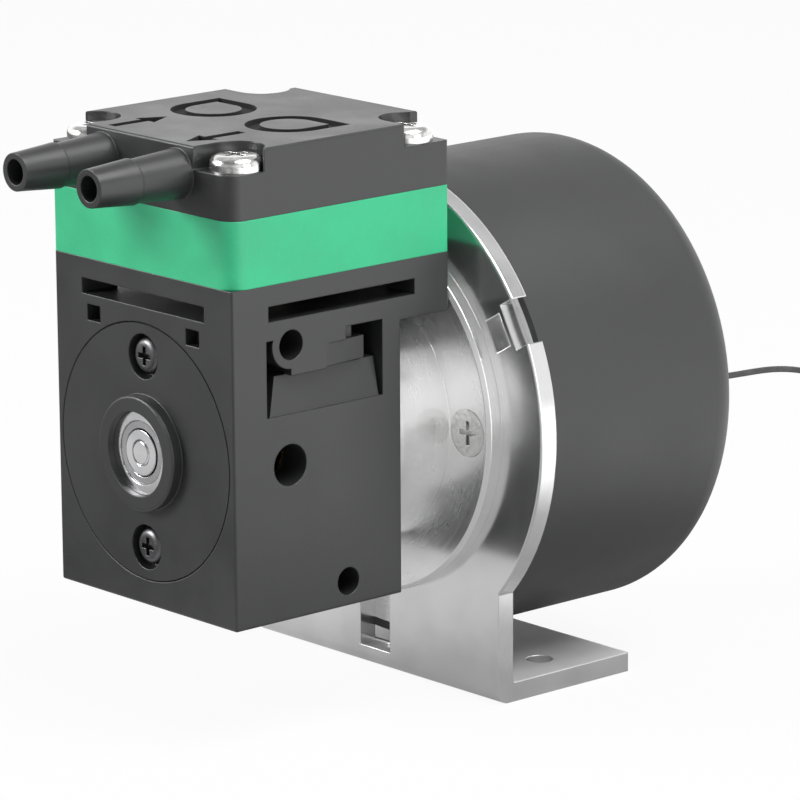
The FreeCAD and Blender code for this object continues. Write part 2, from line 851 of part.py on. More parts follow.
def make_intermediate_plate():
    item = body("intermediate_plate", 0, head_middle, axis_height + platform_top)
    half_depth = platform_depth / 2
    plan = box_corners(-half_width, half_width, -half_depth, half_depth)
    pad(item, "XY_Plane", 0, s.plate_height, [("outline", plan)])
    round_corners(item)
    pocket(item, "XY_Plane", 0, s.diaphragm_thick, [("circle", 0, 0, s.rim_radius)])
    pocket(item, "XY_Plane", 0, s.chamber_roof, [("circle", 0, 0, s.chamber_radius)])
    pocket_floor = s.plate_height - s.valve_pocket_depth
    inlet = [("circle", -s.valve_offset_x, s.valve_offset_y, s.valve_pocket_radius)]
    tab_room = box_corners(
        -s.valve_offset_x - s.flap_tab_width / 2 - s.flap_gap,
        -s.valve_offset_x + s.flap_tab_width / 2 + s.flap_gap,
        s.valve_offset_y,
        s.valve_offset_y + s.flap_reach,
    )
    pocket(item, "XY_Plane", pocket_floor, s.valve_pocket_depth, inlet)
    tab_floor = s.plate_height - s.valve_sheet_thick
    pocket(item, "XY_Plane", tab_floor, s.valve_sheet_thick, [("outline", tab_room)])
    ports = [("circle", side * s.valve_offset_x, s.valve_offset_y, s.port_radius) for side in (-1, 1)]
    pocket(item, "XY_Plane", s.chamber_roof, s.plate_height - s.chamber_roof, ports)
    pocket(item, "XY_Plane", 0, s.plate_height, corner_circles(0, 0, s.large_screw_radius + s.hole_gap))


def round_corners(item):
    """Rounds the upright corners of the plate or the cover, most of all the front corner on the right."""
    half_depth = platform_depth / 2

    def at_corner(point, near_one):
        right_front = near(point.x, half_width) and near(point.y, -half_depth)
        corner = near(abs(point.x), half_width) and near(abs(point.y), half_depth)
        return corner and right_front == near_one

    on_edges(item, "Fillet", s.near_corner, lambda edge: at_corner(middle(edge), True))
    on_edges(item, "Fillet", s.plate_corner, lambda edge: at_corner(middle(edge), False))


def make_head_cover():
    item = body("head_cover", 0, head_middle, head_base)
    half_depth = platform_depth / 2
    plan = box_corners(-half_width, half_width, -half_depth, half_depth)
    pad(item, "XY_Plane", 0, s.head_height, [("outline", plan)])
    round_corners(item)
    on_edges(item, "Fillet", s.head_edge, lambda edge: near(middle(edge).z, s.head_height))
    barb = [
        (half_depth - s.near_corner, 0),
        (half_depth + s.barb_length, 0),
        (half_depth + s.barb_length, s.barb_tip_radius),
        (half_depth + s.barb_length - s.barb_edge_back, s.barb_edge_radius),
        (half_depth + s.barb_length - s.barb_edge_back, s.barb_neck_radius),
        (half_depth, s.barb_root_radius),
        (half_depth - s.near_corner, s.barb_root_radius),
    ]
    for side in (-1, 1):
        add_barb(item, barb, side * s.barb_spacing / 2)
    notch_rise = s.head_height - s.head_ledge
    pocket(item, "XY_Plane", s.head_ledge, notch_rise, corner_circles(0, 0, s.screw_notch_radius))
    open_sides = []
    for side in (-1, 1):
        middle_x = side * head_half_pitch
        outer = side * half_width
        inner = side * (head_half_pitch - s.screw_notch_radius)
        front = box_corners(inner, outer, -half_depth, -head_half_pitch)
        beside = box_corners(middle_x, outer, -head_half_pitch, s.front_notch_reach - head_half_pitch)
        rear_inner = side * (head_half_pitch - s.rear_notch_reach)
        rear = box_corners(rear_inner, outer, head_half_pitch, half_depth)
        ahead = box_corners(middle_x, outer, head_half_pitch - s.screw_notch_radius, head_half_pitch)
        open_sides += [front, beside, rear, ahead]
    for corners in open_sides:
        pocket(item, "XY_Plane", s.head_ledge, notch_rise, [("outline", corners)])
    pocket(item, "XY_Plane", 0, s.head_ledge, corner_circles(0, 0, s.large_screw_radius + s.hole_gap))
    half_sheet = (s.valve_sheet_length / 2, s.valve_sheet_width / 2)
    seat = box_corners(
        -half_sheet[0] - s.hole_gap,
        half_sheet[0] + s.hole_gap,
        -half_sheet[1] - s.hole_gap,
        half_sheet[1] + s.hole_gap,
    )
    pocket(item, "XY_Plane", 0, s.valve_sheet_thick, [("outline", seat)])
    inlet_floor = s.valve_sheet_thick + s.inlet_land
    inlet_duct = [("circle", -s.valve_offset_x, s.valve_offset_y, s.duct_radius)]
    outlet_duct = [("circle", s.valve_offset_x, s.valve_offset_y, s.duct_radius)]
    inlet_port = [("circle", -s.valve_offset_x, s.valve_offset_y, s.port_radius)]
    pocket(item, "XY_Plane", inlet_floor, duct_top - inlet_floor, inlet_duct)
    pocket(item, "XY_Plane", 0, duct_top, outlet_duct)
    pocket(item, "XY_Plane", 0, inlet_floor, inlet_port)
    bores = [("circle", side * s.barb_spacing / 2, s.barb_axis_rise, s.barb_bore_radius) for side in (-1, 1)]
    bore_length = s.barb_length + half_depth + s.valve_offset_y
    pocket(item, "XZ_Plane", -half_depth - s.barb_length, bore_length, bores)
    add_top_marks(item, half_depth)


def add_barb(item, section, x):
    """One hose barb, turned about its own axis, standing out of the cover's front."""
    rise = s.barb_axis_rise
    corners = [(-out, rise + radius) for out, radius in section]
    turn_beside(item, "YZ_Plane", x, (0, rise), (-1, rise), corners)


def add_top_marks(item, half_depth):
    """Two round marks with one square corner, and two flow arrows, sunk in the top."""
    floor = s.head_height - s.ring_mark_depth
    marks = []
    for side in (-1, 1):
        x = side * s.valve_offset_x
        y = s.ring_mark_back - half_depth
        marks.append(("drop", x, y, s.ring_mark_radius, side))
        marks.append(("drop", x, y, s.ring_mark_radius - s.ring_mark_width, side))
    pocket(item, "XY_Plane", floor, s.ring_mark_depth, marks)
    arrows = []
    for side in (-1, 1):
        x = side * s.valve_offset_x
        front = s.arrow_front - half_depth
        rear = front + s.arrow_length
        tip, tail = (rear, front) if side < 0 else (front, rear)
        neck = tip - s.arrow_head if side < 0 else tip + s.arrow_head
        half_bar = s.arrow_bar_width / 2
        half_head = s.arrow_head_width / 2
        arrows.append(("outline", [
            (x - half_bar, tail),
            (x - half_bar, neck),
            (x - half_head, neck),
            (x, tip),
            (x + half_head, neck),
            (x + half_bar, neck),
            (x + half_bar, tail),
        ]))
    pocket(item, "XY_Plane", floor, s.ring_mark_depth, arrows)


def make_valves():
    """The rubber valve sheet, with an inlet flap that opens down and an outlet flap that opens up."""
    sheet_body = body("valve_sheet", 0, head_middle, head_base)
    half_sheet = (s.valve_sheet_length / 2, s.valve_sheet_width / 2)
    plan = box_corners(-half_sheet[0], half_sheet[0], -half_sheet[1], half_sheet[1])
    pad(sheet_body, "XY_Plane", 0, s.valve_sheet_thick, [("outline", plan)])
    round_cuts = [
        ("circle", side * s.valve_offset_x, s.valve_offset_y, s.flap_radius + s.flap_gap) for side in (-1, 1)
    ]
    pocket(sheet_body, "XY_Plane", 0, s.valve_sheet_thick, round_cuts)
    tab_cuts = [
        ("outline", box_corners(
            side * s.valve_offset_x - s.flap_tab_width / 2 - s.flap_gap,
            side * s.valve_offset_x + s.flap_tab_width / 2 + s.flap_gap,
            s.valve_offset_y,
            s.valve_offset_y + s.flap_reach + s.flap_gap,
        ))
        for side in (-1, 1)
    ]
    pocket(sheet_body, "XY_Plane", 0, s.valve_sheet_thick, tab_cuts)
    for name, side in (("inlet_flap", -1), ("outlet_flap", 1)):
        flap = body(name, side * s.valve_offset_x, head_middle + s.valve_offset_y, head_base)
        pad(flap, "XY_Plane", 0, s.valve_sheet_thick, [("circle", 0, 0, s.flap_radius)])
        half_tab = s.flap_tab_width / 2
        tab = box_corners(-half_tab, half_tab, 0, s.flap_reach)
        pad(flap, "XY_Plane", 0, s.valve_sheet_thick, [("outline", tab)])


def make_diaphragm():
    """The moulded membrane: a clamped rim, one soft fold and a raised middle on the rod."""
    item = body("diaphragm", 0, head_middle, axis_height + platform_top)
    outer = s.rim_radius - s.hole_gap
    inner = s.rod_disc_radius + s.fold_inner_gap
    low = s.diaphragm_rise
    high = s.diaphragm_rise + s.diaphragm_thick
    hole = s.small_screw_radius + s.screw_gap
    bend = s.chamber_radius - s.fold_outer_gap
    section = [
        (hole, low),
        (inner, low),
        (bend, 0),
        (outer, 0),
        (outer, s.diaphragm_thick),
        (bend, s.diaphragm_thick),
        (inner, high),
        (hole, high),
    ]
    turn(item, [("outline", section)], role="XZ_Plane", axis="V_Axis")
    clamp = body("diaphragm_clamp_disc", 0, head_middle, axis_height + platform_top + high)
    sunk = s.small_head_radius
    disc = [
        (hole, 0),
        (s.clamp_disc_radius - s.clamp_disc_edge, 0),
        (s.clamp_disc_radius, s.clamp_disc_edge),
        (s.clamp_disc_radius, s.clamp_disc_thick),
        (sunk, s.clamp_disc_thick),
        (hole, s.clamp_sink_floor),
    ]
    turn(clamp, [("outline", disc)], role="XZ_Plane", axis="V_Axis")
    bolt = body("diaphragm_clamp_screw", 0, head_middle, axis_height + platform_top + high)
    radius = s.small_screw_radius
    shape = [
        (0, s.clamp_disc_thick - s.clamp_screw_length),
        (radius, s.clamp_disc_thick - s.clamp_screw_length),
        (radius, s.clamp_sink_floor),
        (sunk - s.screw_gap, s.clamp_disc_thick),
        (0, s.clamp_disc_thick),
    ]
    turn(bolt, [("outline", shape)], role="XZ_Plane", axis="V_Axis")
    half_bar = s.cross_width / 2
    reach = sunk * s.clamp_slot_share
    slot = box_corners(-half_bar, half_bar, -reach, reach)
    pocket(bolt, "XY_Plane", s.clamp_disc_thick - s.clamp_slot_depth, s.clamp_slot_depth, [("outline", slot)])


def make_crank():
    """The shaft, the eccentric with its balance weight, and the grub screw that locks them."""
    journal_front = -s.hub_rise + s.bearing_recess - s.journal_setback
    shaft = body("motor_shaft", 0, case_front, axis_height)
    shoulder = -s.hub_rise + s.bearing_recess + s.front_ball_width + s.seat_gap
    rear = tube_rear - case_front + s.clip_thick + s.rotor_hub_length + s.shaft_tail
    section = [
        (journal_front, 0),
        (rear, 0),
        (rear, s.shaft_radius),
        (shoulder, s.shaft_radius),
        (shoulder, s.journal_radius),
        (journal_front + s.journal_chamfer, s.journal_radius),
        (journal_front, s.journal_radius - s.journal_chamfer),
    ]
    turn(shaft, [("outline", section)])
    eccentric = body("eccentric", 0, case_front, axis_height)
    front = s.front_wall + s.crank_front_gap
    seat_front = rod_middle - s.rod_ball_width / 2
    seat_rear = rod_middle + s.rod_ball_width / 2
    pad(eccentric, "XZ_Plane", front, seat_front - front, [("circle", 0, 0, s.crank_collar_radius)])
    seat = [("circle", 0, s.throw, s.crank_seat_radius)]
    pad(eccentric, "XZ_Plane", seat_front, seat_rear - seat_front, seat)
    edge_angle = s.weight_half_angle
    weight = [(0, 0)]
    for number in range(-3, 4):
        angle = edge_angle * (number / 3) - 90
        weight.append((s.weight_radius * cosine(angle), s.weight_radius * sine(angle)))
    weight_front = s.front_wall + s.weight_front_gap
    pad(eccentric, "XZ_Plane", weight_front, s.weight_length, [("outline", weight)])
    bore = [("circle", 0, 0, s.shaft_radius + s.seat_gap)]
    pocket(eccentric, "XZ_Plane", front, seat_rear - front, bore)
    grub_hole = [("circle", s.grub_back, 0, s.grub_radius + s.screw_gap)]
    pocket(eccentric, "YZ_Plane", 0, s.crank_collar_radius + s.throw, grub_hole)
    grub = body("eccentric_grub_screw", s.shaft_radius + s.screw_gap, case_front + s.grub_back, axis_height)
    pad(grub, "YZ_Plane", 0, s.grub_length, [("circle", 0, 0, s.grub_radius)])
    across = s.grub_socket_radius
    hexagon = [(across * cosine(60 * number), across * sine(60 * number)) for number in range(6)]
    pocket(grub, "YZ_Plane", s.grub_length - s.grub_socket_depth, s.grub_socket_depth, [("outline", hexagon)])


def make_connecting_rod():
    item = body("connecting_rod", 0, case_front + rod_middle, axis_height + s.throw)
    half_thick = s.rod_thick / 2
    disc_top = platform_top + s.diaphragm_rise - s.throw
    disc_bottom = disc_top - s.rod_disc_depth
    half_neck = s.rod_neck_width / 2
    turn(
        item,
        [("outline", [
            (0, disc_bottom),
            (half_neck, disc_bottom),
            (s.rod_disc_radius - s.rod_disc_taper, disc_top - s.rod_disc_rim),
            (s.rod_disc_radius, disc_top - s.rod_disc_rim + s.rod_disc_edge),
            (s.rod_disc_radius, disc_top),
            (0, disc_top),
        ])],
        role="XZ_Plane",
        axis="V_Axis",
    )
    shoulder = s.rod_eye_radius * s.rod_shoulder_share
    neck_low = s.rod_eye_radius + s.rod_neck_start
    shank = [
        (-shoulder, 0),
        (shoulder, 0),
        (half_neck, neck_low),
        (half_neck, disc_bottom + s.rod_neck_overlap),
        (-half_neck, disc_bottom + s.rod_neck_overlap),
        (-half_neck, neck_low),
    ]
    pad(item, "XZ_Plane", -half_thick, s.rod_thick, [("outline", shank)])
    pad(item, "XZ_Plane", -half_thick, s.rod_thick, [("circle", 0, 0, s.rod_eye_radius)])
    pocket(item, "XZ_Plane", -half_thick, s.rod_thick, [("circle", 0, 0, s.rod_ball_outer + s.seat_gap)])
    flute = box_corners(
        s.rod_web - half_neck,
        half_neck - s.rod_web,
        s.rod_eye_radius + s.rod_flute_gap,
        disc_bottom - s.rod_flute_end,
    )
    pocket(item, "XZ_Plane", -half_thick, s.rod_flute, [("outline", flute)])
    pocket(item, "XZ_Plane", half_thick - s.rod_flute, s.rod_flute, [("outline", flute)])
    thread_depth = s.clamp_screw_length - s.clamp_disc_thick - s.diaphragm_thick + s.hole_gap
    thread = [("circle", 0, 0, s.small_screw_radius + s.screw_gap)]
    pocket(item, "XY_Plane", disc_top - thread_depth, thread_depth, thread)


def make_bearing(name, count, y, x_rise, bore, outer, width, ball):
    """A shielded deep-groove bearing: two grooved rings, two shields, the balls and their cage."""
    pitch = (bore + outer) / 2
    centre = width / 2
    land = ball - s.groove_depth
    groove = [("circle", centre, pitch, ball + s.ball_clearance)]
    height = axis_height + x_rise
    gap = s.seat_gap
    outer_ring = body(f"{name}_outer_ring", 0, y, height)
    turn(outer_ring, [("outline", box_corners(0, width, pitch + land, outer))])
    turn(outer_ring, groove, kind="Groove")
    inner_ring = body(f"{name}_inner_ring", 0, y, height)
    turn(inner_ring, [("outline", box_corners(0, width, bore + gap, pitch - land))])
    turn(inner_ring, groove, kind="Groove")
    shields = body(f"{name}_shields", 0, y, height)
    shield_in = pitch - land + s.shield_gap
    shield_out = pitch + land - gap
    front = box_corners(s.shield_gap, s.shield_gap + s.shield_thick, shield_in, shield_out)
    rear = box_corners(
        width - s.shield_gap - s.shield_thick, width - s.shield_gap, shield_in, shield_out
    )
    turn(shields, [("outline", front)])
    turn(shields, [("outline", rear)])
    balls = doc.addObject("Part::Compound", f"{name}_balls")
    pockets = []
    spheres = []
    for number in range(count):
        angle = 360 / count * number
        for group, radius in ((spheres, ball), (pockets, ball + s.cage_clearance)):
            sphere = doc.addObject("Part::Sphere", f"{name}_ball")
            sphere.setExpression("Radius", as_size(radius).text)
            sphere.setExpression("Placement.Base.x", (pitch * sine(angle)).text)
            sphere.setExpression("Placement.Base.y", (y + centre).text)
            sphere.setExpression("Placement.Base.z", (height + pitch * cosine(angle)).text)
            sphere.Placement.Rotation = FreeCAD.Rotation(FreeCAD.Vector(1, 0, 0), 90)
            group.append(sphere)
    balls.Links = spheres
    balls.Label = f"{name}_balls"
    nodes[f"{name}_balls"] = balls
    cage_band = []
    for radius in (pitch + s.cage_half_width, pitch - s.cage_half_width):
        disc = doc.addObject("Part::Cylinder", f"{name}_cage_disc")
        disc.setExpression("Radius", radius.text)
        disc.setExpression("Height", (ball * s.cage_length_share).text)
        disc.setExpression("Placement.Base.y", (y + centre - ball * s.cage_front_share).text)
        disc.setExpression("Placement.Base.z", height.text)
        disc.Placement.Rotation = FreeCAD.Rotation(FreeCAD.Vector(1, 0, 0), -90)
        cage_band.append(disc)
    hollow = doc.addObject("Part::MultiFuse", f"{name}_cage_hollow")
    hollow.Shapes = [cage_band[1]] + pockets
    cage = doc.addObject("Part::Cut", f"{name}_cage")
    cage.Base = cage_band[0]
    cage.Tool = hollow
    cage.Label = f"{name}_cage"
    nodes[f"{name}_cage"] = cage


def make_screws():
    heads = body("head_screws", 0, head_middle, head_base + s.head_ledge)
    corner = head_half_pitch / cosine(45)
    screw(
        heads, corner, 45, s.large_head_radius, s.large_head_height, s.large_screw_radius, s.head_screw_length
    )
    repeat_round(heads, "Z_Axis", CORNER_SCREW_COUNT)
    covers = body("bearing_cover_screws", 0, case_front + s.cover_counterbore_depth, axis_height)
    screw(
        covers,
        s.cover_screw_radius,
        90,
        s.small_head_radius,
        s.small_head_height,
        s.small_screw_radius,
        s.cover_screw_length,
    )
    repeat_round(covers, "Z_Axis", COVER_SCREW_COUNT)
    head_towards(covers, "front")
    behind = body("crankcase_screws", 0, case_rear + s.adapter_web, axis_height)
    screw(
        behind,
        s.case_screw_radius,
        45,
        s.small_head_radius,
        s.small_head_height,
        s.small_screw_radius,
        s.case_screw_length,
    )
    repeat_round(behind, "Z_Axis", CORNER_SCREW_COUNT)
    head_towards(behind, "rear")
    flange = body("flange_screws", 0, flange_front + s.sunk_head_height + s.seat_gap, axis_height)
    screw(
        flange,
        s.flange_screw_radius,
        0,
        s.sunk_head_radius,
        s.sunk_head_height,
        s.large_screw_radius,
        s.flange_screw_length,
        sunk=True,
    )
    repeat_round(flange, "Z_Axis", CORNER_SCREW_COUNT)
    head_towards(flange, "front")


def make_adapter():
    item = body("adapter_flange", 0, case_rear, axis_height)
    rear = s.boss_length + s.flange_thick
    spigot = s.rear_opening_radius - s.spigot_gap
    section = [
        (-s.spigot_length, s.adapter_bore_radius),
        (-s.spigot_length, spigot),
        (0, spigot),
        (0, s.adapter_boss_radius),
        (s.boss_length, s.adapter_boss_radius),
        (s.boss_length, s.flange_radius - s.flange_chamfer),
        (s.boss_length + s.flange_chamfer, s.flange_radius),
        (rear, s.flange_radius),
        (rear, s.ring_bore_radius - s.seat_gap),
        (rear + s.plate_thick - s.bracket_lip, s.ring_bore_radius - s.seat_gap),
        (rear + s.plate_thick - s.bracket_lip, s.adapter_bore_radius),
    ]
    turn(item, [("outline", section)])
    head_room = polar_circles(s.case_screw_radius, 45, CORNER_SCREW_COUNT, s.small_head_radius + s.hole_gap)
    shank_room = polar_circles(s.case_screw_radius, 45, CORNER_SCREW_COUNT, s.small_screw_radius + s.hole_gap)
    pocket(item, "XZ_Plane", s.adapter_web, rear - s.adapter_web, head_room)
    pocket(item, "XZ_Plane", 0, s.adapter_web, shank_room)
    through = polar_circles(s.flange_screw_radius, 0, CORNER_SCREW_COUNT, s.large_screw_radius + s.hole_gap)
    pocket(item, "XZ_Plane", s.boss_length, s.flange_thick, through)
    cone = s.sunk_head_radius + s.screw_gap
    front = s.boss_length
    for side in (-1, 1):
        off = side * s.flange_screw_radius
        beside = [(off, front), (off + cone, front), (off, front + cone)]
        above = [(front, off), (front, off + cone), (front + cone, off)]
        turn_beside(item, "XY_Plane", 0, (off, 0), (off, 1), beside, kind="Groove")
        turn_beside(item, "YZ_Plane", 0, (0, off), (1, off), above, kind="Groove")


def make_bracket():
    item = body("mounting_bracket", 0, plate_front, axis_height)
    half_foot = s.foot_width / 2
    leg_top = -ring_radius * s.leg_top_share
    foot_side = [
        (0, leg_top),
        (0, -axis_height),
        (s.foot_depth, -axis_height),
        (s.foot_depth, s.plate_thick - axis_height),
        (s.plate_thick, s.plate_thick - axis_height),
        (s.plate_thick, leg_top),
    ]
    pad(item, "YZ_Plane", -half_foot, s.foot_width, [("outline", foot_side)])

    def outer_bend(edge):
        point = middle(edge)
        return near(point.y, 0) and near(point.z, -axis_height)

    def inner_bend(edge):
        point = middle(edge)
        return near(point.y, s.plate_thick) and near(point.z, s.plate_thick - axis_height)

    on_edges(item, "Fillet", s.bend_outer_radius, outer_bend)
    on_edges(item, "Fillet", s.bend_inner_radius, inner_bend)
    pad(item, "XZ_Plane", 0, s.plate_thick, [("circle", 0, 0, ring_radius)])
    pocket(item, "XZ_Plane", 0, s.plate_thick, [("circle", 0, 0, s.ring_bore_radius)])
    through = polar_circles(s.flange_screw_radius, 0, CORNER_SCREW_COUNT, s.large_screw_radius + s.hole_gap)
    pocket(item, "XZ_Plane", 0, s.plate_thick, through)
    cuts = []
    for side in (-1, 1):
        cuts.append(tangent_box(
            side, ring_radius - s.notch_depth, ring_radius + s.notch_depth, s.notch_width
        ))
        cuts.append(tangent_box(
            side, ring_radius - s.tab_slot_reach, ring_radius - s.tab_slot_rim, s.tab_slot_width
        ))
    pocket(item, "XZ_Plane", 0, s.plate_thick, cuts)
    half_window = s.window_width / 2
    sill = s.plate_thick - axis_height
    window = box_corners(-half_window, half_window, sill, sill + s.window_height)
    pocket(item, "XZ_Plane", 0, s.plate_thick, [("outline", window)])
    holes = [
        ("circle", side * s.foot_hole_spacing / 2, s.foot_hole_setback, s.foot_hole_radius)
        for side in (-1, 1)
    ]
    pocket(item, "XY_Plane", -axis_height, s.plate_thick, holes)
    on_edges(
        item,
        "Chamfer",
        s.plate_edge / 2,
        lambda edge: (
            near(middle(edge).y, 0)
            and hasattr(edge.Curve, "Radius")
            and near(edge.Curve.Radius, ring_radius)
        ),
    )


def tangent_box(side, inner, outer, width):
    """A rectangle square to the radius at the notch's angle, between two distances from the shaft."""
    cos_a, sin_a = cosine(s.notch_angle), sine(s.notch_angle)
    corners = []
    for radius, across in ((inner, -0.5), (outer, -0.5), (outer, 0.5), (inner, 0.5)):
        x = radius * cos_a - width * across * sin_a
        z = radius * sin_a + width * across * cos_a
        corners.append((side * x, z))
    return ("outline", corners)


def make_motor():
    plate = body("motor_front_plate", 0, motor_front, axis_height)
    thick = s.motor_plate_thick
    tube = thick + s.bearing_tube_length
    seat = s.motor_ball_outer + s.seat_gap
    seat_depth = s.motor_ball_width + s.seat_gap
    section = [
        (0, seat),
        (0, s.can_radius - s.can_wall - s.motor_plate_gap),
        (thick, s.can_radius - s.can_wall - s.motor_plate_gap),
        (thick, s.bearing_tube_radius),
        (tube, s.bearing_tube_radius),
        (tube, seat),
        (tube - seat_depth, seat),
        (tube - seat_depth, s.tube_bore_radius),
        (seat_depth, s.tube_bore_radius),
        (seat_depth, seat),
    ]
    turn(plate, [("outline", section)])
    taps = polar_circles(s.flange_screw_radius, 0, CORNER_SCREW_COUNT, s.large_screw_radius + s.screw_gap)
    pocket(plate, "XZ_Plane", 0, thick, taps)

    can = body("motor_can", 0, motor_front, axis_height)
    shell = [
        (0, 0),
        (s.can_length, 0),
        (s.can_length, s.can_radius),
        (0, s.can_radius),
    ]
    turn(can, [("outline", shell)])
    on_edges(can, "Fillet", s.can_round, lambda edge: edge.Closed and near(middle(edge).y, s.can_length))
    inside = [
        (0, 0),
        (s.can_length - s.can_wall, 0),
        (s.can_length - s.can_wall, s.can_radius - s.can_wall - s.can_inner_chamfer),
        (s.can_length - s.can_wall - s.can_inner_chamfer, s.can_radius - s.can_wall),
        (0, s.can_radius - s.can_wall),
    ]
    turn(can, [("outline", inside)], kind="Groove")
    lead_hole = [("circle", grommet_x, s.grommet_rise, s.grommet_radius)]
    pocket(can, "XZ_Plane", s.can_length - s.can_wall * 2, s.can_wall * 2, lead_hole)

    board = ring(
        "circuit_board",
        tube_front + s.board_back,
        s.bearing_tube_radius + s.seat_gap,
        s.board_radius,
        s.board_thick,
    )
    hole_circle = s.board_radius - s.board_hole_inset
    board_holes = polar_circles(hole_circle, 45, CORNER_SCREW_COUNT, s.small_screw_radius)
    pocket(board, "XZ_Plane", 0, s.board_thick, board_holes)

    stator_front = tube_front + s.stator_back
    core = body("stator_core", 0, stator_front, axis_height)
    pad(core, "XZ_Plane", 0, s.stator_length, [("circle", 0, 0, s.stator_yoke_radius)])
    for number in range(TOOTH_COUNT):
        angle = 360 / TOOTH_COUNT * number
        tooth = radial_box(
            angle, s.stator_yoke_radius - s.core_overlap, s.stator_radius - s.core_overlap, s.tooth_width
        )
        pad(core, "XZ_Plane", 0, s.stator_length, [("outline", tooth)])
        tip = radial_box(angle, s.stator_radius - s.tooth_tip, s.stator_radius, s.tooth_tip_width)
        pad(core, "XZ_Plane", 0, s.stator_length, [("outline", tip)])
    pocket(core, "XZ_Plane", 0, s.stator_length, [("circle", 0, 0, s.bearing_tube_radius + s.seat_gap)])

    coils = body("stator_coils", 0, stator_front, axis_height)
    winding_inner = s.stator_yoke_radius + s.coil_gap + s.coil_foot_gap
    winding_outer = s.stator_radius - s.tooth_tip - s.coil_gap
    winding = radial_box(0, winding_inner, winding_outer, s.coil_width)
    core_room = radial_box(
        0, winding_inner - s.core_overlap, winding_outer + s.core_overlap, s.tooth_width + s.coil_gap * 2
    )
    length = s.stator_length + s.coil_overhang * 2
    pad(coils, "XZ_Plane", -s.coil_overhang, length, [("outline", winding)])
    pocket(coils, "XZ_Plane", -s.coil_gap, s.stator_length + s.coil_gap * 2, [("outline", core_room)])
    repeat_round(coils, "Y_Axis", TOOTH_COUNT)

    magnet_inner = diagonal(s.stator_radius, s.tooth_tip_width / 2) + s.air_gap
    magnet_outer = magnet_inner + s.magnet_thick
    magnet_front = stator_front - s.magnet_ahead
    ring("ring_magnet", magnet_front, magnet_inner, magnet_outer, s.magnet_length)
    rotor = body("rotor_cup", 0, magnet_front, axis_height)
    hub_front = tube_rear - magnet_front + s.clip_thick
    hub_rear = hub_front + s.rotor_hub_length
    cup = [
        (0, magnet_outer + s.seat_gap),
        (0, magnet_outer + s.rotor_wall),
        (hub_front + s.rotor_wall, magnet_outer + s.rotor_wall),
        (hub_front + s.rotor_wall, s.rotor_hub_radius),
        (hub_rear, s.rotor_hub_radius),
        (hub_rear, s.shaft_radius + s.seat_gap),
        (hub_front, s.shaft_radius + s.seat_gap),
        (hub_front, magnet_outer + s.seat_gap),
    ]
    turn(rotor, [("outline", cup)])
    spokes = polar_circles(
        (s.rotor_hub_radius + magnet_outer) / 2, 0, WINDOW_COUNT, s.rotor_hub_radius * s.rotor_window_share
    )
    pocket(rotor, "XZ_Plane", hub_front, s.rotor_wall, spokes)


def radial_box(angle, inner, outer, width):
    """A rectangle along a radius, between two distances from the shaft."""
    cos_a, sin_a = cosine(angle), sine(angle)
    corners = []
    for radius, across in ((inner, -0.5), (outer, -0.5), (outer, 0.5), (inner, 0.5)):
        corners.append((
            radius * cos_a - width * across * sin_a,
            radius * sin_a + width * across * cos_a,
        ))
    return corners


def tube_along(name, points, radius):
    """A round tube along straight runs joined by tangent arcs as large as the runs allow."""
    vectors = [FreeCAD.Vector(*point) for point in points]
    edges = []
    length = 0.0
    radii = []
    last = vectors[0]
    for before, corner, after in zip(vectors, vectors[1:], vectors[2:]):
        coming = (corner - before).normalize()
        going = (after - corner).normalize()
        turn_angle = coming.getAngle(going)
        setback = 0.45 * min((corner - before).Length, (after - corner).Length)
        bend = setback / math.tan(turn_angle / 2)
        start = corner - coming * setback
        end = corner + going * setback
        inward = (going - coming).normalize()
        through = corner + inward * (bend / math.cos(turn_angle / 2) - bend)
        edges.append(Part.LineSegment(last, start).toShape())
        edges.append(Part.Arc(start, through, end).toShape())
        length += (start - last).Length + bend * turn_angle
        radii.append(bend)
        last = end
    edges.append(Part.LineSegment(last, vectors[-1]).toShape())
    length += (vectors[-1] - last).Length
    path = Part.Wire(edges)
    section = Part.Wire([Part.Circle(vectors[0], vectors[1] - vectors[0], radius.value).toShape()])
    tube = path.makePipeShell([section], True, False)
    expected = math.pi * radius.value ** 2 * length
    print(f"{name}: length {length:.1f} mm, smallest bend {min(radii):.1f} mm")
    if abs(tube.Volume / expected - 1) > 0.01:
        raise RuntimeError(f"{name} does not have the volume of its section along its length")
    item = doc.addObject("Part::Feature", name)
    item.Shape = tube
    item.Label = name
    nodes[name] = item
    return length


def lead_places():
    """The lead's points from the grommet to the coil and on to the connector, and the coil's middle."""
    x, y = grommet_x.value, can_rear.value
    height = (axis_height + s.grommet_rise).value
    first = [(x + across, y + back, height - drop) for across, back, drop in LEAD_BY_CAN]
    rest = [(x + across, y + back, rise) for across, back, rise in LEAD_ON_FLOOR]
    tail = [(x + across, y + back, rise) for across, back, rise in TAIL_ON_FLOOR]
    return first + rest, tail, (x + COIL_PLACE[0], y + COIL_PLACE[1])


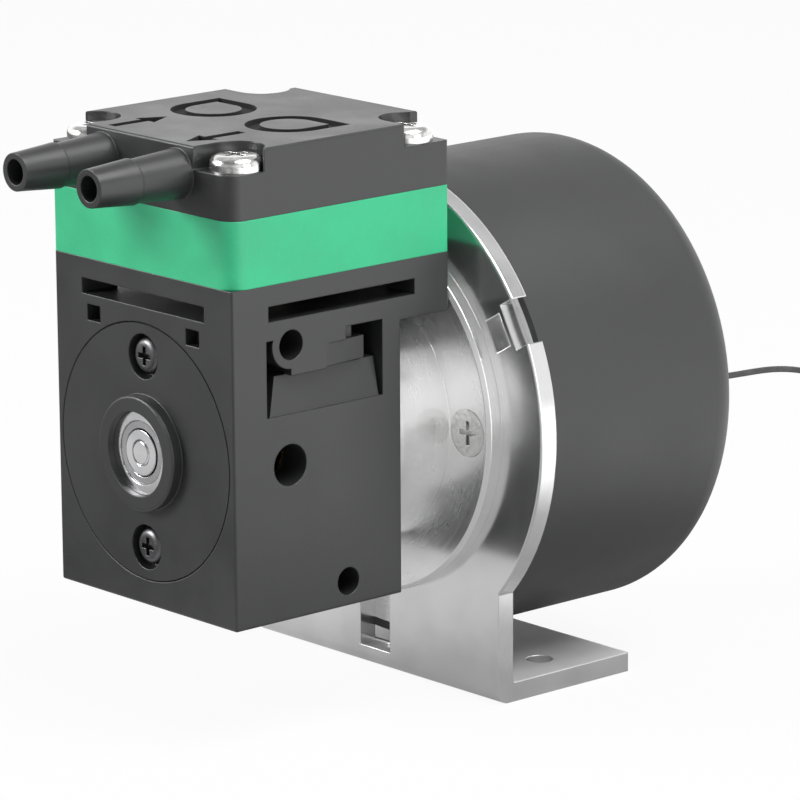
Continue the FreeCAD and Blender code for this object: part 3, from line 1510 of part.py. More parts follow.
def make_lead():
    grommet = body("lead_grommet", grommet_x, can_rear, axis_height + s.grommet_rise)
    section = [
        (-s.can_wall - s.grommet_flange, s.lead_radius + s.seat_gap),
        (-s.can_wall - s.grommet_flange, s.grommet_flange_radius),
        (-s.can_wall - s.seat_gap, s.grommet_flange_radius),
        (-s.can_wall - s.seat_gap, s.grommet_radius - s.seat_gap),
        (s.seat_gap, s.grommet_radius - s.seat_gap),
        (s.seat_gap, s.grommet_flange_radius),
        (s.grommet_flange * s.grommet_edge_share, s.grommet_flange_radius),
        (s.grommet_neck, s.lead_radius * s.grommet_nose_share),
        (s.grommet_neck, s.lead_radius + s.seat_gap),
    ]
    turn(grommet, [("outline", section)])
    lead_route, tail_route, coil_centre = lead_places()
    tube_along("motor_lead", lead_route, s.lead_radius)
    tube_along("lead_tail", tail_route, s.lead_radius)
    coil = body("lead_coil", *coil_centre, s.tie_thick + s.tie_gap)
    inner = s.coil_mean_radius - s.coil_section / 2
    outer = s.coil_mean_radius + s.coil_section / 2
    turn(
        coil,
        [("outline", box_corners(inner, outer, 0, s.coil_lead_height))],
        role="XZ_Plane",
        axis="V_Axis",
    )
    tie = body("lead_tie", coil_centre[0], coil_centre[1] + s.coil_mean_radius, 0)
    half_inside = s.coil_section / 2 + s.tie_gap
    half_outside = half_inside + s.tie_thick
    band_top = s.tie_thick * 2 + s.tie_gap * 2 + s.coil_lead_height
    pad(tie, "YZ_Plane", -s.tie_width / 2, s.tie_width, [
        ("outline", box_corners(-half_outside, half_outside, 0, band_top)),
        ("outline", box_corners(-half_inside, half_inside, s.tie_thick, band_top - s.tie_thick)),
    ])
    reach = s.tie_width * s.tie_head_share
    latch = box_corners(-reach, reach, -reach, reach)
    pad(tie, "XY_Plane", band_top - s.tie_thick / 2, s.tie_thick * 2, [("outline", latch)])
    end_x, end_y, end_z = tail_route[-1]
    plug = body("lead_connector", end_x, end_y, 0)
    half_plug = s.connector_width / 2
    housing = box_corners(-half_plug, half_plug, 0, s.connector_height)
    wall = s.connector_wall
    socket = box_corners(wall - half_plug, half_plug - wall, wall, s.connector_height - wall)
    pad(plug, "XZ_Plane", 0, s.connector_length, [("outline", housing)])
    pocket(plug, "XZ_Plane", s.connector_length - s.socket_depth, s.socket_depth, [("outline", socket)])
    pins = body("connector_pins", end_x, end_y + s.connector_length - s.socket_depth, s.connector_height / 2)
    pin = [("circle", s.pin_spacing / 2, 0, s.pin_radius)]
    pad(pins, "XZ_Plane", 0, s.socket_depth - wall, pin)
    repeat_round(pins, "Y_Axis", PIN_COUNT)


make_crankcase()
make_bearing_cover()
make_bearing(
    "front_bearing", FRONT_BALL_COUNT, bearing_front, as_size(0),
    s.front_ball_bore, s.front_ball_outer, s.front_ball_width, s.front_ball_radius,
)
make_intermediate_plate()
make_head_cover()
make_valves()
make_diaphragm()
make_crank()
make_connecting_rod()
make_bearing(
    "rod_bearing", ROD_BALL_COUNT, case_front + rod_middle - s.rod_ball_width / 2, s.throw,
    s.rod_ball_bore, s.rod_ball_outer, s.rod_ball_width, s.rod_ball_radius,
)
make_adapter()
make_bracket()
make_motor()
make_bearing(
    "motor_front_bearing", MOTOR_BALL_COUNT, motor_front, as_size(0),
    s.motor_ball_bore, s.motor_ball_outer, s.motor_ball_width, s.motor_ball_radius,
)
make_bearing(
    "motor_rear_bearing", MOTOR_BALL_COUNT, tube_rear - s.motor_ball_width, as_size(0),
    s.motor_ball_bore, s.motor_ball_outer, s.motor_ball_width, s.motor_ball_radius,
)
ring(
    "shaft_clip",
    tube_rear + s.seat_gap,
    s.shaft_radius + s.seat_gap,
    s.clip_radius,
    s.clip_thick - s.seat_gap * 2,
)
make_screws()
make_lead()

doc.recompute()
for item in doc.Objects:
    if "Invalid" in item.State or "Error" in item.State:
        raise RuntimeError(f"{item.Name} failed: {item.State}")
os.makedirs("parts", exist_ok=True)
for name, item in nodes.items():
    if item.Shape.isNull() or not item.Shape.isValid():
        raise RuntimeError(f"{name} has no valid shape")
    item.Shape.exportStep(f"parts/{name}.step")
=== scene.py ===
import json
import math

import bpy
from bpy.props import FloatProperty, FloatVectorProperty, IntProperty, PointerProperty
from mathutils import Matrix, Vector


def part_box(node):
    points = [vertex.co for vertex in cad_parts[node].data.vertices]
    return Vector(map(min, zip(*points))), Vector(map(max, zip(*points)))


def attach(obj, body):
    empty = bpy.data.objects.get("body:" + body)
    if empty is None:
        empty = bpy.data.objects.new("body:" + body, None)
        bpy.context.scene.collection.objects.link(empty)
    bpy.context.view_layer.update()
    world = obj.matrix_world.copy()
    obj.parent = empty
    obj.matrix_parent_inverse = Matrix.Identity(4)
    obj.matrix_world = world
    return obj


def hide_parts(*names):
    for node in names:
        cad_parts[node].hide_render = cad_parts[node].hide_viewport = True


bl_info = {
    "name": "Diaphragm Vacuum Pump",
    "version": (1, 0, 0),
    "blender": (4, 5, 0),
    "location": "View3D > Sidebar > Pump",
    "description": "Finishes, motor lead and studio for a small diaphragm vacuum pump",
    "category": "Object",
}

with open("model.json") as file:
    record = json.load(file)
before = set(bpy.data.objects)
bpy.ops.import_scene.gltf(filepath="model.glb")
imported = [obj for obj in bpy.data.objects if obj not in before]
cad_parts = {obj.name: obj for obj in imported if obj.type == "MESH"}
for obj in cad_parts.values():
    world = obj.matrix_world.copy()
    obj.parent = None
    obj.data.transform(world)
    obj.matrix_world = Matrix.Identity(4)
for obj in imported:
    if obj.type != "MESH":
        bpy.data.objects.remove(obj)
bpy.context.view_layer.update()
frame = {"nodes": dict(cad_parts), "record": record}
nodes = frame["nodes"]

MM = 0.001

# The motor shaft runs along Y at this height.
SHAFT_HEIGHT = 43 * MM

# The marks sunk in the head cover's top: their depth, and for the arrows and then the rings how far they
# reach to each side, and where they begin and end along the shaft.
head_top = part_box("head_cover")[1][2]
MARK_DEPTH = 0.8 * MM
MARK_ROWS = ((11.5 * MM, -59.7 * MM, -47.9 * MM), (15.8 * MM, -46.4 * MM, -32.2 * MM))

# A mark's painted shade, dull black, covers its floor with this much to spare, and its walls up to this far
# below the top.
MARK_ROOM = 0.05 * MM
MARK_RIM = 0.03 * MM
# The grey of the painted shade in the marks, which the cover's dark joint shares, and the roughness of both.
SHADE_AND_JOINT_GREY = 0.004
MARK_ROUGH = 0.98

# The fine joint round the front cover, in the case's front face: its width, and the depth where it fades out.
cover_low, cover_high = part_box("bearing_cover")
cover_radius = (cover_high[0] - cover_low[0]) / 2
case_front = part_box("crankcase")[0][1]
JOINT_WIDTH = 0.26 * MM
JOINT_DEPTH = 0.1 * MM

# A surface of the bracket that faces up and lies below this height is its foot. Its satin plating fades out
# above it, and is this much rougher and less metallic than the rest.
FOOT_TOP = 3.2 * MM
FOOT_FADE = 0.3 * MM
FOOT_ROUGHER = 0.2
FOOT_DULLER = 0.62

# Sharp borders between finishes are blended over this distance.
BORDER = 0.02 * MM

# The lead's route from inside the motor to the coil, and from the coil to its connector, in millimetres.
LEAD_ROUTE = [
    (25.0, 26.5, 43.6),
    (25.0, 39.1, 43.0),
    (25.1, 49.8, 42.6),
    (25.4, 58.8, 40.2),
    (26.0, 64.0, 31.3),
    (26.8, 67.3, 19.4),
    (27.6, 71.5, 9.8),
    (28.6, 77.1, 2.7),
    (29.8, 84.5, 0.5),
    (30.3, 91.1, 0.5),
]
TAIL_ROUTE = [
    (30.2, 95.1, 3.1),
    (30.3, 99.7, 1.6),
    (31.3, 104.1, 1.1),
    (33.2, 107.9, 2.0),
]

# The coil in millimetres: its centre on the floor, and how far its tie lifts it. Its turns lie this many lead
# diameters apart, and move over to the next turn's place within this many points.
COIL_CENTRE = (36.0, 92.9)
COIL_LIFT = 0.5
TURN_SPACING = 1.04
CROSSING_POINTS = 3

# Each turn: 1 outside and -1 inside the coil's middle radius, and its layer.
COIL_TURNS = ((1, 0), (-1, 0), (-1, 1), (1, 1), (1, 2), (-1, 2))

# The camera's place in metres, and its shifts, which frame the pump as the photograph does.
CAMERA_PLACE = (0.598192, -0.542138, 0.235588)
CAMERA_SHIFTS = (0.1563, 0.22304)

# Each lamp: its name, its place in metres, its width and height, and the setting that holds its power.
LAMPS = (
    ("key_light", (0.4, 0.05, 0.85), (0.7, 0.5), "key_power"),
    ("right_light", (0.95, 0.1, 0.3), (0.5, 0.6), "fill_power"),
    ("front_light", (-0.55, -0.75, 0.5), (0.4, 0.4), "front_power"),
)
LAMP_AIM = Vector((0, -0.02, 0.05))

# The floor's width in metres and its own grey, and how much of its look is glow, straight and mirrored.
FLOOR_WIDTH = 6
FLOOR_GREY = 0.7
FLOOR_SEEN = 0.93
FLOOR_MIRRORED = 0.9

# How bright the floor looks in reflections, from the left front of the pump to its right rear: the sum of X
# and Y where the bands start, how far they reach in metres, levels at shares of that reach, and a strength
# for them all. The dark bands stand for black cards at the left front, and for the pump's own shade.
BANDS_START = -0.5
BANDS_REACH = 0.8
FLOOR_BANDS = (
    (0.0, 0.08),
    (0.1, 0.08),
    (0.19, 0.5),
    (0.27, 0.5),
    (0.33, 0.05),
    (0.43, 0.05),
    (0.5, 0.48),
    (0.55, 0.42),
    (0.6, 0.25),
    (0.67, 0.2),
    (0.73, 0.3),
    (0.8, 1.0),
    (1.0, 1.0),
)
FLOOR_GLEAM = 1.55

# The grey of the dome that lights the pump. How bright the dome looks in reflections goes by height, from
# straight down to straight up, and by side, once round from -X by -Y, +X and +Y, with a strength for both.
DOME_GREY = 0.28
DOME_HEIGHTS = ((0.0, 0.4), (0.49, 0.6), (0.54, 1.0), (0.7, 0.95), (0.82, 0.35), (1.0, 0.5))
DOME_SIDES = (
    (0.0, 0.9),
    (0.12, 0.75),
    (0.2, 0.35),
    (0.34, 0.3),
    (0.42, 0.8),
    (0.52, 0.25),
    (0.62, 0.7),
    (0.78, 0.9),
    (1.0, 1.0),
)
DOME_GLEAM = 1.5


# Settings that the panel shows, each with its unit.
def length(name, description, default):
    return FloatProperty(name=name, description=description, default=default, unit="LENGTH")


def angle(name, description, degrees):
    return FloatProperty(name=name, description=description, default=math.radians(degrees), subtype="ANGLE")


def power(name, description, default):
    return FloatProperty(name=name, description=description, default=default, unit="POWER")


def colour(name, description, *default):
    return FloatVectorProperty(name=name, description=description, subtype="COLOR", size=3, default=default)


class PumpSizes(bpy.types.PropertyGroup):
    """Sizes of the lead and its coil, and of the rounding along moulded edges"""

    lead_diameter: length("Lead diameter", "Thickness of the motor lead", 1 * MM)
    coil_radius: length("Coil radius", "Middle of the coil's turns", 5.5 * MM)
    turn_points: IntProperty(
        name="Points in a turn", description="Points that guide one turn of the coil", default=12
    )
    edge_round: length("Edge rounding", "Rounding that catches light along moulded edges", 0.26 * MM)


class PumpColours(bpy.types.PropertyGroup):
    """Colours of the pump's finishes"""

    housing: colour("Housing", "Black moulded housing", 0.019, 0.0195, 0.0205)
    green: colour("Green plate", "Moulded plate under the head", 0.018, 0.47, 0.215)
    can: colour("Motor can", "Coated motor can", 0.022, 0.0225, 0.0235)
    steel: colour("Plated steel", "Bracket's bright plating", 0.82, 0.82, 0.82)
    aluminium: colour("Aluminium", "Turned adapter and motor front", 0.95, 0.95, 0.95)
    nickel: colour("Nickel", "Bright screws and contact pins", 0.80, 0.80, 0.79)
    dark_zinc: colour("Dark zinc", "Front cover's screws, shaft clip and rotor cup", 0.16, 0.16, 0.165)
    bearing: colour("Bearing steel", "Ground rings, balls and shaft", 0.72, 0.72, 0.73)
    shield: colour("Shield", "Pressed bearing shields", 0.58, 0.58, 0.59)
    cage: colour("Cage", "Moulded ball cages", 0.42, 0.28, 0.13)
    rod: colour("Rod", "Moulded connecting rod", 0.70, 0.68, 0.60)
    brass: colour("Brass", "Crank with its balance weight", 0.75, 0.52, 0.20)
    magnet: colour("Magnet", "Sintered ring magnet", 0.13, 0.13, 0.14)
    rubber: colour("Rubber", "Grommet, diaphragm and valves", 0.02, 0.02, 0.021)
    jacket: colour("Lead jacket", "Jacket of the motor lead", 0.05, 0.05, 0.051)
    connector: colour("Connector", "White nylon of the lead's connector", 0.72, 0.71, 0.66)
    tie: colour("Tie", "Black nylon of the coil's tie", 0.02, 0.02, 0.021)


class PumpStudio(bpy.types.PropertyGroup):
    """The camera's lens and angles, and the lamps' strengths"""

    lens: FloatProperty(
        name="Lens", description="Focal length for a 36 mm frame", default=236.032, unit="CAMERA"
    )
    azimuth: angle("Azimuth", "Camera angle round the pump", 49.743)
    elevation: angle("Elevation", "Camera angle above the floor", 15.484)
    roll: angle("Roll", "Tilt of the camera", -0.697)
    key_power: power("Key light", "Strength of the large soft light", 7.5)
    front_power: power("Front light", "Strength of the light in front", 7.5)
    fill_power: power("Fill light", "Strength of the side light", 2.2)


def grey(level):
    return (level, level, level, 1)


def tint(base, factor):
    """A colour made darker or lighter."""
    return tuple(min(1.0, part * factor) for part in base[:3]) + (1,)


def fill_ramp(stops, levels):
    """Sets a ramp's stops from pairs of a position and a grey level."""
    stops[0].position, stops[1].position = levels[0][0], levels[-1][0]
    stops[0].color, stops[1].color = grey(levels[0][1]), grey(levels[-1][1])
    for position, level in levels[1:-1]:
        stops.new(position).color = grey(level)


class Wire:
    """A node's output. Sums, products and powers of it add Math nodes."""

    def __init__(self, maker, socket):
        self.maker = maker
        self.socket = socket

    def __add__(self, other):
        return self.maker.maths("ADD", self, other)

    def __radd__(self, other):
        return self.maker.maths("ADD", other, self)

    def __sub__(self, other):
        return self.maker.maths("SUBTRACT", self, other)

    def __rsub__(self, other):
        return self.maker.maths("SUBTRACT", other, self)

    def __mul__(self, other):
        return self.maker.maths("MULTIPLY", self, other)

    def __rmul__(self, other):
        return self.maker.maths("MULTIPLY", other, self)

    def __truediv__(self, other):
        return self.maker.maths("DIVIDE", self, other)

    def __pow__(self, other):
        return self.maker.maths("POWER", self, other)


class NodeMaker:
    """Adds nodes to the tree of a material or a world."""

    def __init__(self, tree):
        self.tree = tree

    def node(self, kind, settings, inputs):
        """Adds a node, sets it, then sets or links its sockets."""
        made = self.tree.nodes.new(kind)
        for setting, value in settings.items():
            if setting == "stops":
                fill_ramp(made.color_ramp.elements, value)
            else:
                setattr(made, setting, value)
        for name, value in inputs.items():
            self.feed(made.inputs[name], value)
        return made

    def feed(self, socket, value):
        if isinstance(value, Wire):
            self.tree.links.new(value.socket, socket)
        else:
            socket.default_value = value

    def output(self, kind, settings, inputs, name=0):
        """Adds a node and gives one of its outputs."""
        return Wire(self, self.node(kind, settings, inputs).outputs[name])

    def maths(self, operation, first, second):
        return self.output("ShaderNodeMath", {"operation": operation}, {0: first, 1: second})

    def parts(self, vector):
        """The three coordinates of a vector."""
        node = self.node("ShaderNodeSeparateXYZ", {}, {0: vector})
        return [Wire(self, output) for output in node.outputs]

    def ramp(self, value, levels):
        """A grey level that follows a value from 0 to 1."""
        return self.output("ShaderNodeValToRGB", {"stops": levels}, {0: value})

    def rays(self):
        """1 for what the camera sees itself, and 1 for what it sees mirrored."""
        path = self.node("ShaderNodeLightPath", {}, {})
        return Wire(self, path.outputs["Is Camera Ray"]), Wire(self, path.outputs["Is Glossy Ray"])

    def mixed(self, factor, first, second):
        """Two shaders in one, the second as strong as the factor."""
        return self.output("ShaderNodeMixShader", {}, {0: factor, 1: first, 2: second})


class Finish(NodeMaker):
    """A material, built from nodes on the piece's own coordinates."""

    def __init__(self, name):
        self.material = bpy.data.materials.new(name)
        self.material.use_nodes = True
        super().__init__(self.material.node_tree)
        self.surface = self.tree.nodes["Principled BSDF"]
        self.place = self.output("ShaderNodeTexCoord", {}, {}, "Object")

    def noise(self, size, detail=2.0, roughness=0.5):
        """Soft mottling of a given size in metres."""
        inputs = {"Vector": self.place, "Scale": 1 / size, "Detail": detail, "Roughness": roughness}
        return self.output("ShaderNodeTexNoise", {}, inputs)

    def line_noise(self, distance, size):
        """Fine lines that repeat with distance, as a lathe leaves them."""
        inputs = {"W": distance, "Scale": 1 / size, "Detail": 3.0}
        return self.output("ShaderNodeTexNoise", {"noise_dimensions": "1D"}, inputs)

    def grains(self, size):
        """Cell pattern of a given size in metres, 0 at each cell's middle."""
        return self.output("ShaderNodeTexVoronoi", {}, {"Vector": self.place, "Scale": 1 / size}, "Distance")

    def about_shaft(self):
        """Distance from the shaft's axis, and the place along it."""
        across, along, height = self.parts(self.place)
        up = height - SHAFT_HEIGHT
        return (across * across + up * up) ** 0.5, along

    def step(self, value, low, high):
        """0 below low, 1 above high, smooth between."""
        inputs = {"Value": value, "From Min": low, "From Max": high}
        return self.output("ShaderNodeMapRange", {"interpolation_type": "SMOOTHSTEP"}, inputs)

    def within(self, value, low, high):
        """1 between two values, 0 outside them."""
        return self.step(value, low, low + BORDER) * (1 - self.step(value, high, high + BORDER))

    def between(self, span, share):
        """From a span's low end to its high end, as a share goes from 0 to 1."""
        low, high = span
        return low + (high - low) * share

    def blend(self, factor, first, second):
        """From one colour to another, as a factor goes from 0 to 1."""
        return self.output("ShaderNodeMix", {"data_type": "RGBA"}, {0: factor, 6: first, 7: second}, 2)

    def shaded(self, pattern, span, base, tints):
        """A colour that goes from one tint to another where a pattern goes through a span."""
        first, last = (tint(base, factor) for factor in tints)
        return self.blend(self.step(pattern, *span), first, last)

    def top_marks(self):
        """1 in the marks sunk in the top of the head cover, 0 elsewhere."""
        across, along, up = self.parts(self.place)
        here = 0
        for reach, front, rear in MARK_ROWS:
            here = here + self.within(across, -reach, reach) * self.within(along, front, rear)
        return here * self.within(up, head_top - MARK_DEPTH - MARK_ROOM, head_top - MARK_RIM)

    def cover_joint(self):
        """1 in the fine joint round the front cover, 0 elsewhere."""
        distance, along = self.about_shaft()
        ring = self.within(distance, cover_radius - JOINT_WIDTH / 2, cover_radius + JOINT_WIDTH / 2)
        return ring * (1 - self.step(along, case_front + JOINT_DEPTH, case_front + 2 * JOINT_DEPTH))

    def foot_top(self):
        """1 on the top of the bracket's foot, 0 elsewhere."""
        normal = self.output("ShaderNodeNewGeometry", {}, {}, "Normal")
        level = self.step(self.parts(normal)[2], 0.8, 0.95)
        height = self.parts(self.place)[2]
        return level * (1 - self.step(height, FOOT_TOP, FOOT_TOP + FOOT_FADE))

    def soft_edge(self, radius):
        """A normal that rounds sharp edges."""
        return self.output("ShaderNodeBevel", {"samples": 8}, {"Radius": radius})

    def edge_mask(self, radius):
        """1 on edges, 0 on flats."""
        normal = self.output("ShaderNodeNewGeometry", {}, {}, "Normal")
        inputs = {0: self.soft_edge(radius), 1: normal}
        product = self.output("ShaderNodeVectorMath", {"operation": "DOT_PRODUCT"}, inputs, "Value")
        return self.step(1 - product, 0.02, 0.16)

    def bump(self, height, strength, depth, normal=None):
        """A normal that follows fine relief, on top of another normal where one is given."""
        inputs = {"Height": height, "Strength": strength, "Distance": depth}
        if normal:
            inputs["Normal"] = normal
        return self.output("ShaderNodeBump", {}, inputs)

    def done(self, base, rough, metallic=0.0, normal=None, specular=0.5):
        """Feeds the surface and gives the material."""
        fields = {"Base Color": base, "Roughness": rough, "Metallic": metallic}
        fields["Specular IOR Level"] = specular
        if normal:
            fields["Normal"] = normal
        for name, value in fields.items():
            self.feed(self.surface.inputs[name], value)
        return self.material


def moulded(name, base, grain, rough_span, edge=0.35 * MM, wear_and_highlight_tint=1.6, marked=False):
    """Moulded plastic, fine spark-eroded grain, edges paler by rubbed wear and painted highlight, sunk marks
    in painted shade.
    """
    finish = Finish(name)
    fine = finish.noise(grain, 2.0, 0.6)
    cloud = finish.noise(12 * MM, 3.0, 0.55)
    shade = finish.shaded(cloud, (0.35, 0.65), base, (0.93, 1.06))
    shade = finish.blend(finish.step(fine, 0.55, 0.75) * 0.35, shade, tint(base, 1.18))
    # Paler along the edges: rubbed wear, and a painted highlight for the light that edges catch.
    shade = finish.blend(finish.edge_mask(edge) * 0.4, shade, tint(base, wear_and_highlight_tint))
    rough = finish.between(rough_span, finish.step(cloud + fine * 0.4, 0.4, 0.9))
    if marked:
        # Painted shade, dull black, in the sunk marks; the dark joint round the front cover takes the same
        # grey.
        sunk = finish.top_marks() + finish.cover_joint()
        shade = finish.blend(sunk, shade, grey(SHADE_AND_JOINT_GREY))
        rough = rough + (MARK_ROUGH - rough) * sunk
    normal = finish.bump(fine, 0.22, 0.08 * MM, finish.soft_edge(edge))
    return finish.done(shade, rough, 0.0, normal, specular=0.75)


def turned_metal(name, base, rough_span, line=0.22 * MM, strength=0.3, metallic=1.0):
    """Metal turned on a lathe: fine rings about the shaft, with faint long streaks."""
    finish = Finish(name)
    distance, along = finish.about_shaft()
    rings = finish.line_noise(distance + along, line)
    streak = finish.noise(6 * MM)
    shade = finish.shaded(rings, (0.3, 0.7), base, (1 - 0.4 * strength, 1 + 0.1 * strength))
    rough = finish.between(rough_span, finish.step(rings * 0.3 + streak * 0.7, 0.35, 0.65))
    normal = finish.bump(rings, strength, 0.02 * MM, finish.soft_edge(0.2 * MM))
    return finish.done(shade, rough, metallic, normal)


def plated_steel(name, base):
    """Bright zinc plate over rolled sheet: fine grain, faint clouds, edges paler by rubbed wear and painted
    highlight, a satin foot.
    """
    finish = Finish(name)
    cloud = finish.noise(9 * MM, 3.0)
    fine = finish.noise(0.16 * MM, 2.0, 0.6)
    shade = finish.shaded(cloud, (0.3, 0.7), base, (0.94, 1.04))
    # Paler along the edges: rubbed wear, and a painted highlight for the light that edges catch.
    shade = finish.blend(finish.edge_mask(0.3 * MM) * 0.7, shade, grey(0.92))
    rough = finish.between((0.17, 0.25), finish.step(cloud * 0.6 + fine * 0.4, 0.35, 0.7))
    normal = finish.bump(fine, 0.1, 0.02 * MM, finish.soft_edge(0.3 * MM))
    foot = finish.foot_top()
    return finish.done(shade, rough + FOOT_ROUGHER * foot, 0.96 - FOOT_DULLER * foot, normal)


def coated_can(name, base):
    """Satin black coat on a drawn can, with fine orange peel."""
    finish = Finish(name)
    peel = finish.noise(1.1 * MM)
    fine = finish.noise(0.22 * MM, 2.0, 0.6)
    cloud = finish.noise(20 * MM, 3.0)
    shade = finish.shaded(cloud, (0.3, 0.7), base, (0.92, 1.1))
    shade = finish.blend(finish.step(fine, 0.56, 0.74) * 0.3, shade, tint(base, 1.5))
    rough = finish.between((0.44, 0.56), finish.step(cloud + fine * 0.3, 0.4, 0.85))
    normal = finish.bump(fine * 0.7 + peel * 0.5, 0.2, 0.06 * MM)
    return finish.done(shade, rough, 0.0, normal, specular=0.75)


def plain_metal(name, base, rough_span, size=0.6 * MM):
    """Small bright metal parts with faint handling marks."""
    finish = Finish(name)
    marks = finish.noise(size, 3.0, 0.6)
    cloud = finish.noise(4 * MM)
    shade = finish.shaded(marks, (0.3, 0.7), base, (0.88, 1.06))
    rough = finish.between(rough_span, finish.step(cloud * 0.5 + marks * 0.5, 0.35, 0.65))
    normal = finish.bump(marks, 0.12, 0.03 * MM, finish.soft_edge(0.15 * MM))
    return finish.done(shade, rough, 1.0, normal)


def soft_rubber(name, base, rough_span=(0.5, 0.7)):
    """Rubber and lead jacket with a faint bloom."""
    finish = Finish(name)
    bloom = finish.noise(3 * MM, 3.0, 0.6)
    fine = finish.noise(0.2 * MM)
    shade = finish.shaded(bloom, (0.35, 0.7), base, (0.85, 1.5))
    rough = finish.between(rough_span, finish.step(bloom, 0.3, 0.7))
    return finish.done(shade, rough, 0.0, finish.bump(fine, 0.15, 0.04 * MM), specular=0.4)


def wound_wire(name):
    """Lacquered copper wire, seen as fine parallel turns, with painted shade in the gaps between them."""
    finish = Finish(name)
    # The darker colour between the turns is painted shade.
    gap_shade, wire = (0.32, 0.10, 0.03, 1), (0.78, 0.33, 0.13, 1)
    distance, along = finish.about_shaft()
    turns = finish.line_noise(distance, 0.45 * MM)
    shade = finish.blend(finish.step(turns, 0.35, 0.6), gap_shade, wire)
    return finish.done(shade, 0.3 + 0.15 * turns, 0.85, finish.bump(turns, 0.6, 0.1 * MM))


def stacked_sheet(name):
    """Thin steel sheets stacked along the shaft."""
    finish = Finish(name)
    distance, along = finish.about_shaft()
    sheets = finish.line_noise(along, 0.6 * MM)
    shade = finish.blend(finish.step(sheets, 0.35, 0.65), grey(0.12), grey(0.34))
    return finish.done(shade, 0.4 + 0.2 * sheets, 0.8, finish.bump(sheets, 0.5, 0.1 * MM))


def circuit_laminate(name):
    """Green laminate with fine copper tracks under lacquer."""
    finish = Finish(name)
    bare, track = (0.012, 0.11, 0.045, 1), (0.03, 0.26, 0.10, 1)
    tracks = finish.grains(1.8 * MM)
    weave = finish.noise(0.4 * MM)
    shade = finish.blend(finish.step(tracks, 0.62, 0.68), bare, track)
    relief = finish.bump(tracks + weave * 0.2, 0.2, 0.05 * MM)
    return finish.done(shade, 0.32 + 0.1 * weave, 0.0, relief)


def finishes(scene):
    """Every material by the record's slot. A rough span goes from the glossiest spots to the dullest."""
    colours = scene.pump_colours
    edge = scene.pump_sizes.edge_round
    return {
        "black_housing": moulded(
            "Black housing", colours.housing, grain=0.34 * MM, rough_span=(0.34, 0.44), edge=edge, marked=True
        ),
        "green_plate": moulded(
            "Green moulding", colours.green, grain=0.45 * MM, rough_span=(0.4, 0.5), edge=edge, wear_and_highlight_tint=1.25
        ),
        "rod_plastic": moulded(
            "Rod plastic", colours.rod, grain=0.3 * MM, rough_span=(0.4, 0.52), edge=0.3 * MM, wear_and_highlight_tint=1.1
        ),
        "cage_plastic": moulded("Cage plastic", colours.cage, grain=0.3 * MM, rough_span=(0.4, 0.5)),
        "connector_white": moulded(
            "Connector nylon",
            colours.connector,
            grain=0.3 * MM,
            rough_span=(0.38, 0.5),
            edge=0.2 * MM,
            wear_and_highlight_tint=1.1,
        ),
        "tie": moulded("Tie nylon", colours.tie, grain=0.3 * MM, rough_span=(0.4, 0.5), edge=0.2 * MM),
        "aluminium": turned_metal(
            "Turned aluminium", colours.aluminium, (0.2, 0.28), line=0.7 * MM, strength=0.03, metallic=0.86
        ),
        "bearing_steel": turned_metal(
            "Ground bearing steel", colours.bearing, (0.1, 0.2), line=0.1 * MM, strength=0.15
        ),
        "shield_steel": turned_metal(
            "Pressed shield", colours.shield, (0.2, 0.34), line=0.16 * MM, strength=0.2
        ),
        "brass": turned_metal("Turned brass", colours.brass, (0.2, 0.32)),
        "zinc_plate": plated_steel("Zinc plate", colours.steel),
        "black_can": coated_can("Coated can", colours.can),
        "bright_steel": plain_metal("Nickel plate", colours.nickel, (0.14, 0.26)),
        "dark_steel": plain_metal("Dark zinc", colours.dark_zinc, (0.3, 0.42)),
        "magnet": plain_metal("Sintered magnet", colours.magnet, (0.45, 0.6), size=0.3 * MM),
        "black_rubber": soft_rubber("Black rubber", colours.rubber),
        "lead_jacket": soft_rubber("Lead jacket", colours.jacket, (0.35, 0.5)),
        "copper": wound_wire("Wound copper"),
        "lamination": stacked_sheet("Stacked sheet"),
        "board": circuit_laminate("Circuit laminate"),
    }


class FinishNodes(bpy.types.Operator):
    """Gives every modelled part its finish"""

    bl_idname = "pump.finish_nodes"
    bl_label = "Finish the parts"

    def execute(self, context):
        made = finishes(context.scene)
        for part in frame["record"]["subparts"]:
            slots = nodes[part["node"]].data.materials
            slots.clear()
            slots.append(made[part["material_slot"]])
        return {"FINISHED"}


def coil_points(sizes):
    """The coil's turns as points in millimetres, clockwise from the lead's end and from the bottom up."""
    spacing = sizes.lead_diameter / MM * TURN_SPACING
    lowest = sizes.lead_diameter / MM / 2 + COIL_LIFT
    centre_x, centre_y = COIL_CENTRE
    points = []
    last_side, last_layer = COIL_TURNS[0]
    for side, layer in COIL_TURNS:
        for number in range(sizes.turn_points):
            share = min(1.0, number / CROSSING_POINTS)
            radius = sizes.coil_radius / MM + spacing / 2 * (last_side + (side - last_side) * share)
            rise = spacing * (last_layer + (layer - last_layer) * share)
            turned = math.radians(180 - 360 * number / sizes.turn_points)
            points.append((
                centre_x + radius * math.cos(turned),
                centre_y + radius * math.sin(turned),
                lowest + rise,
            ))
        last_side, last_layer = side, layer
    return points


def line_length(item):
    """Length of a curve's own line, whatever its thickness."""
    line = item.copy()
    line.data = item.data.copy()
    line.data.bevel_depth = 0
    mesh = bpy.data.meshes.new_from_object(line)
    places = [vertex.co for vertex in mesh.vertices]
    total = sum((after - before).length for before, after in zip(places, places[1:]))
    bpy.data.meshes.remove(mesh)
    bpy.data.objects.remove(line)
    return total


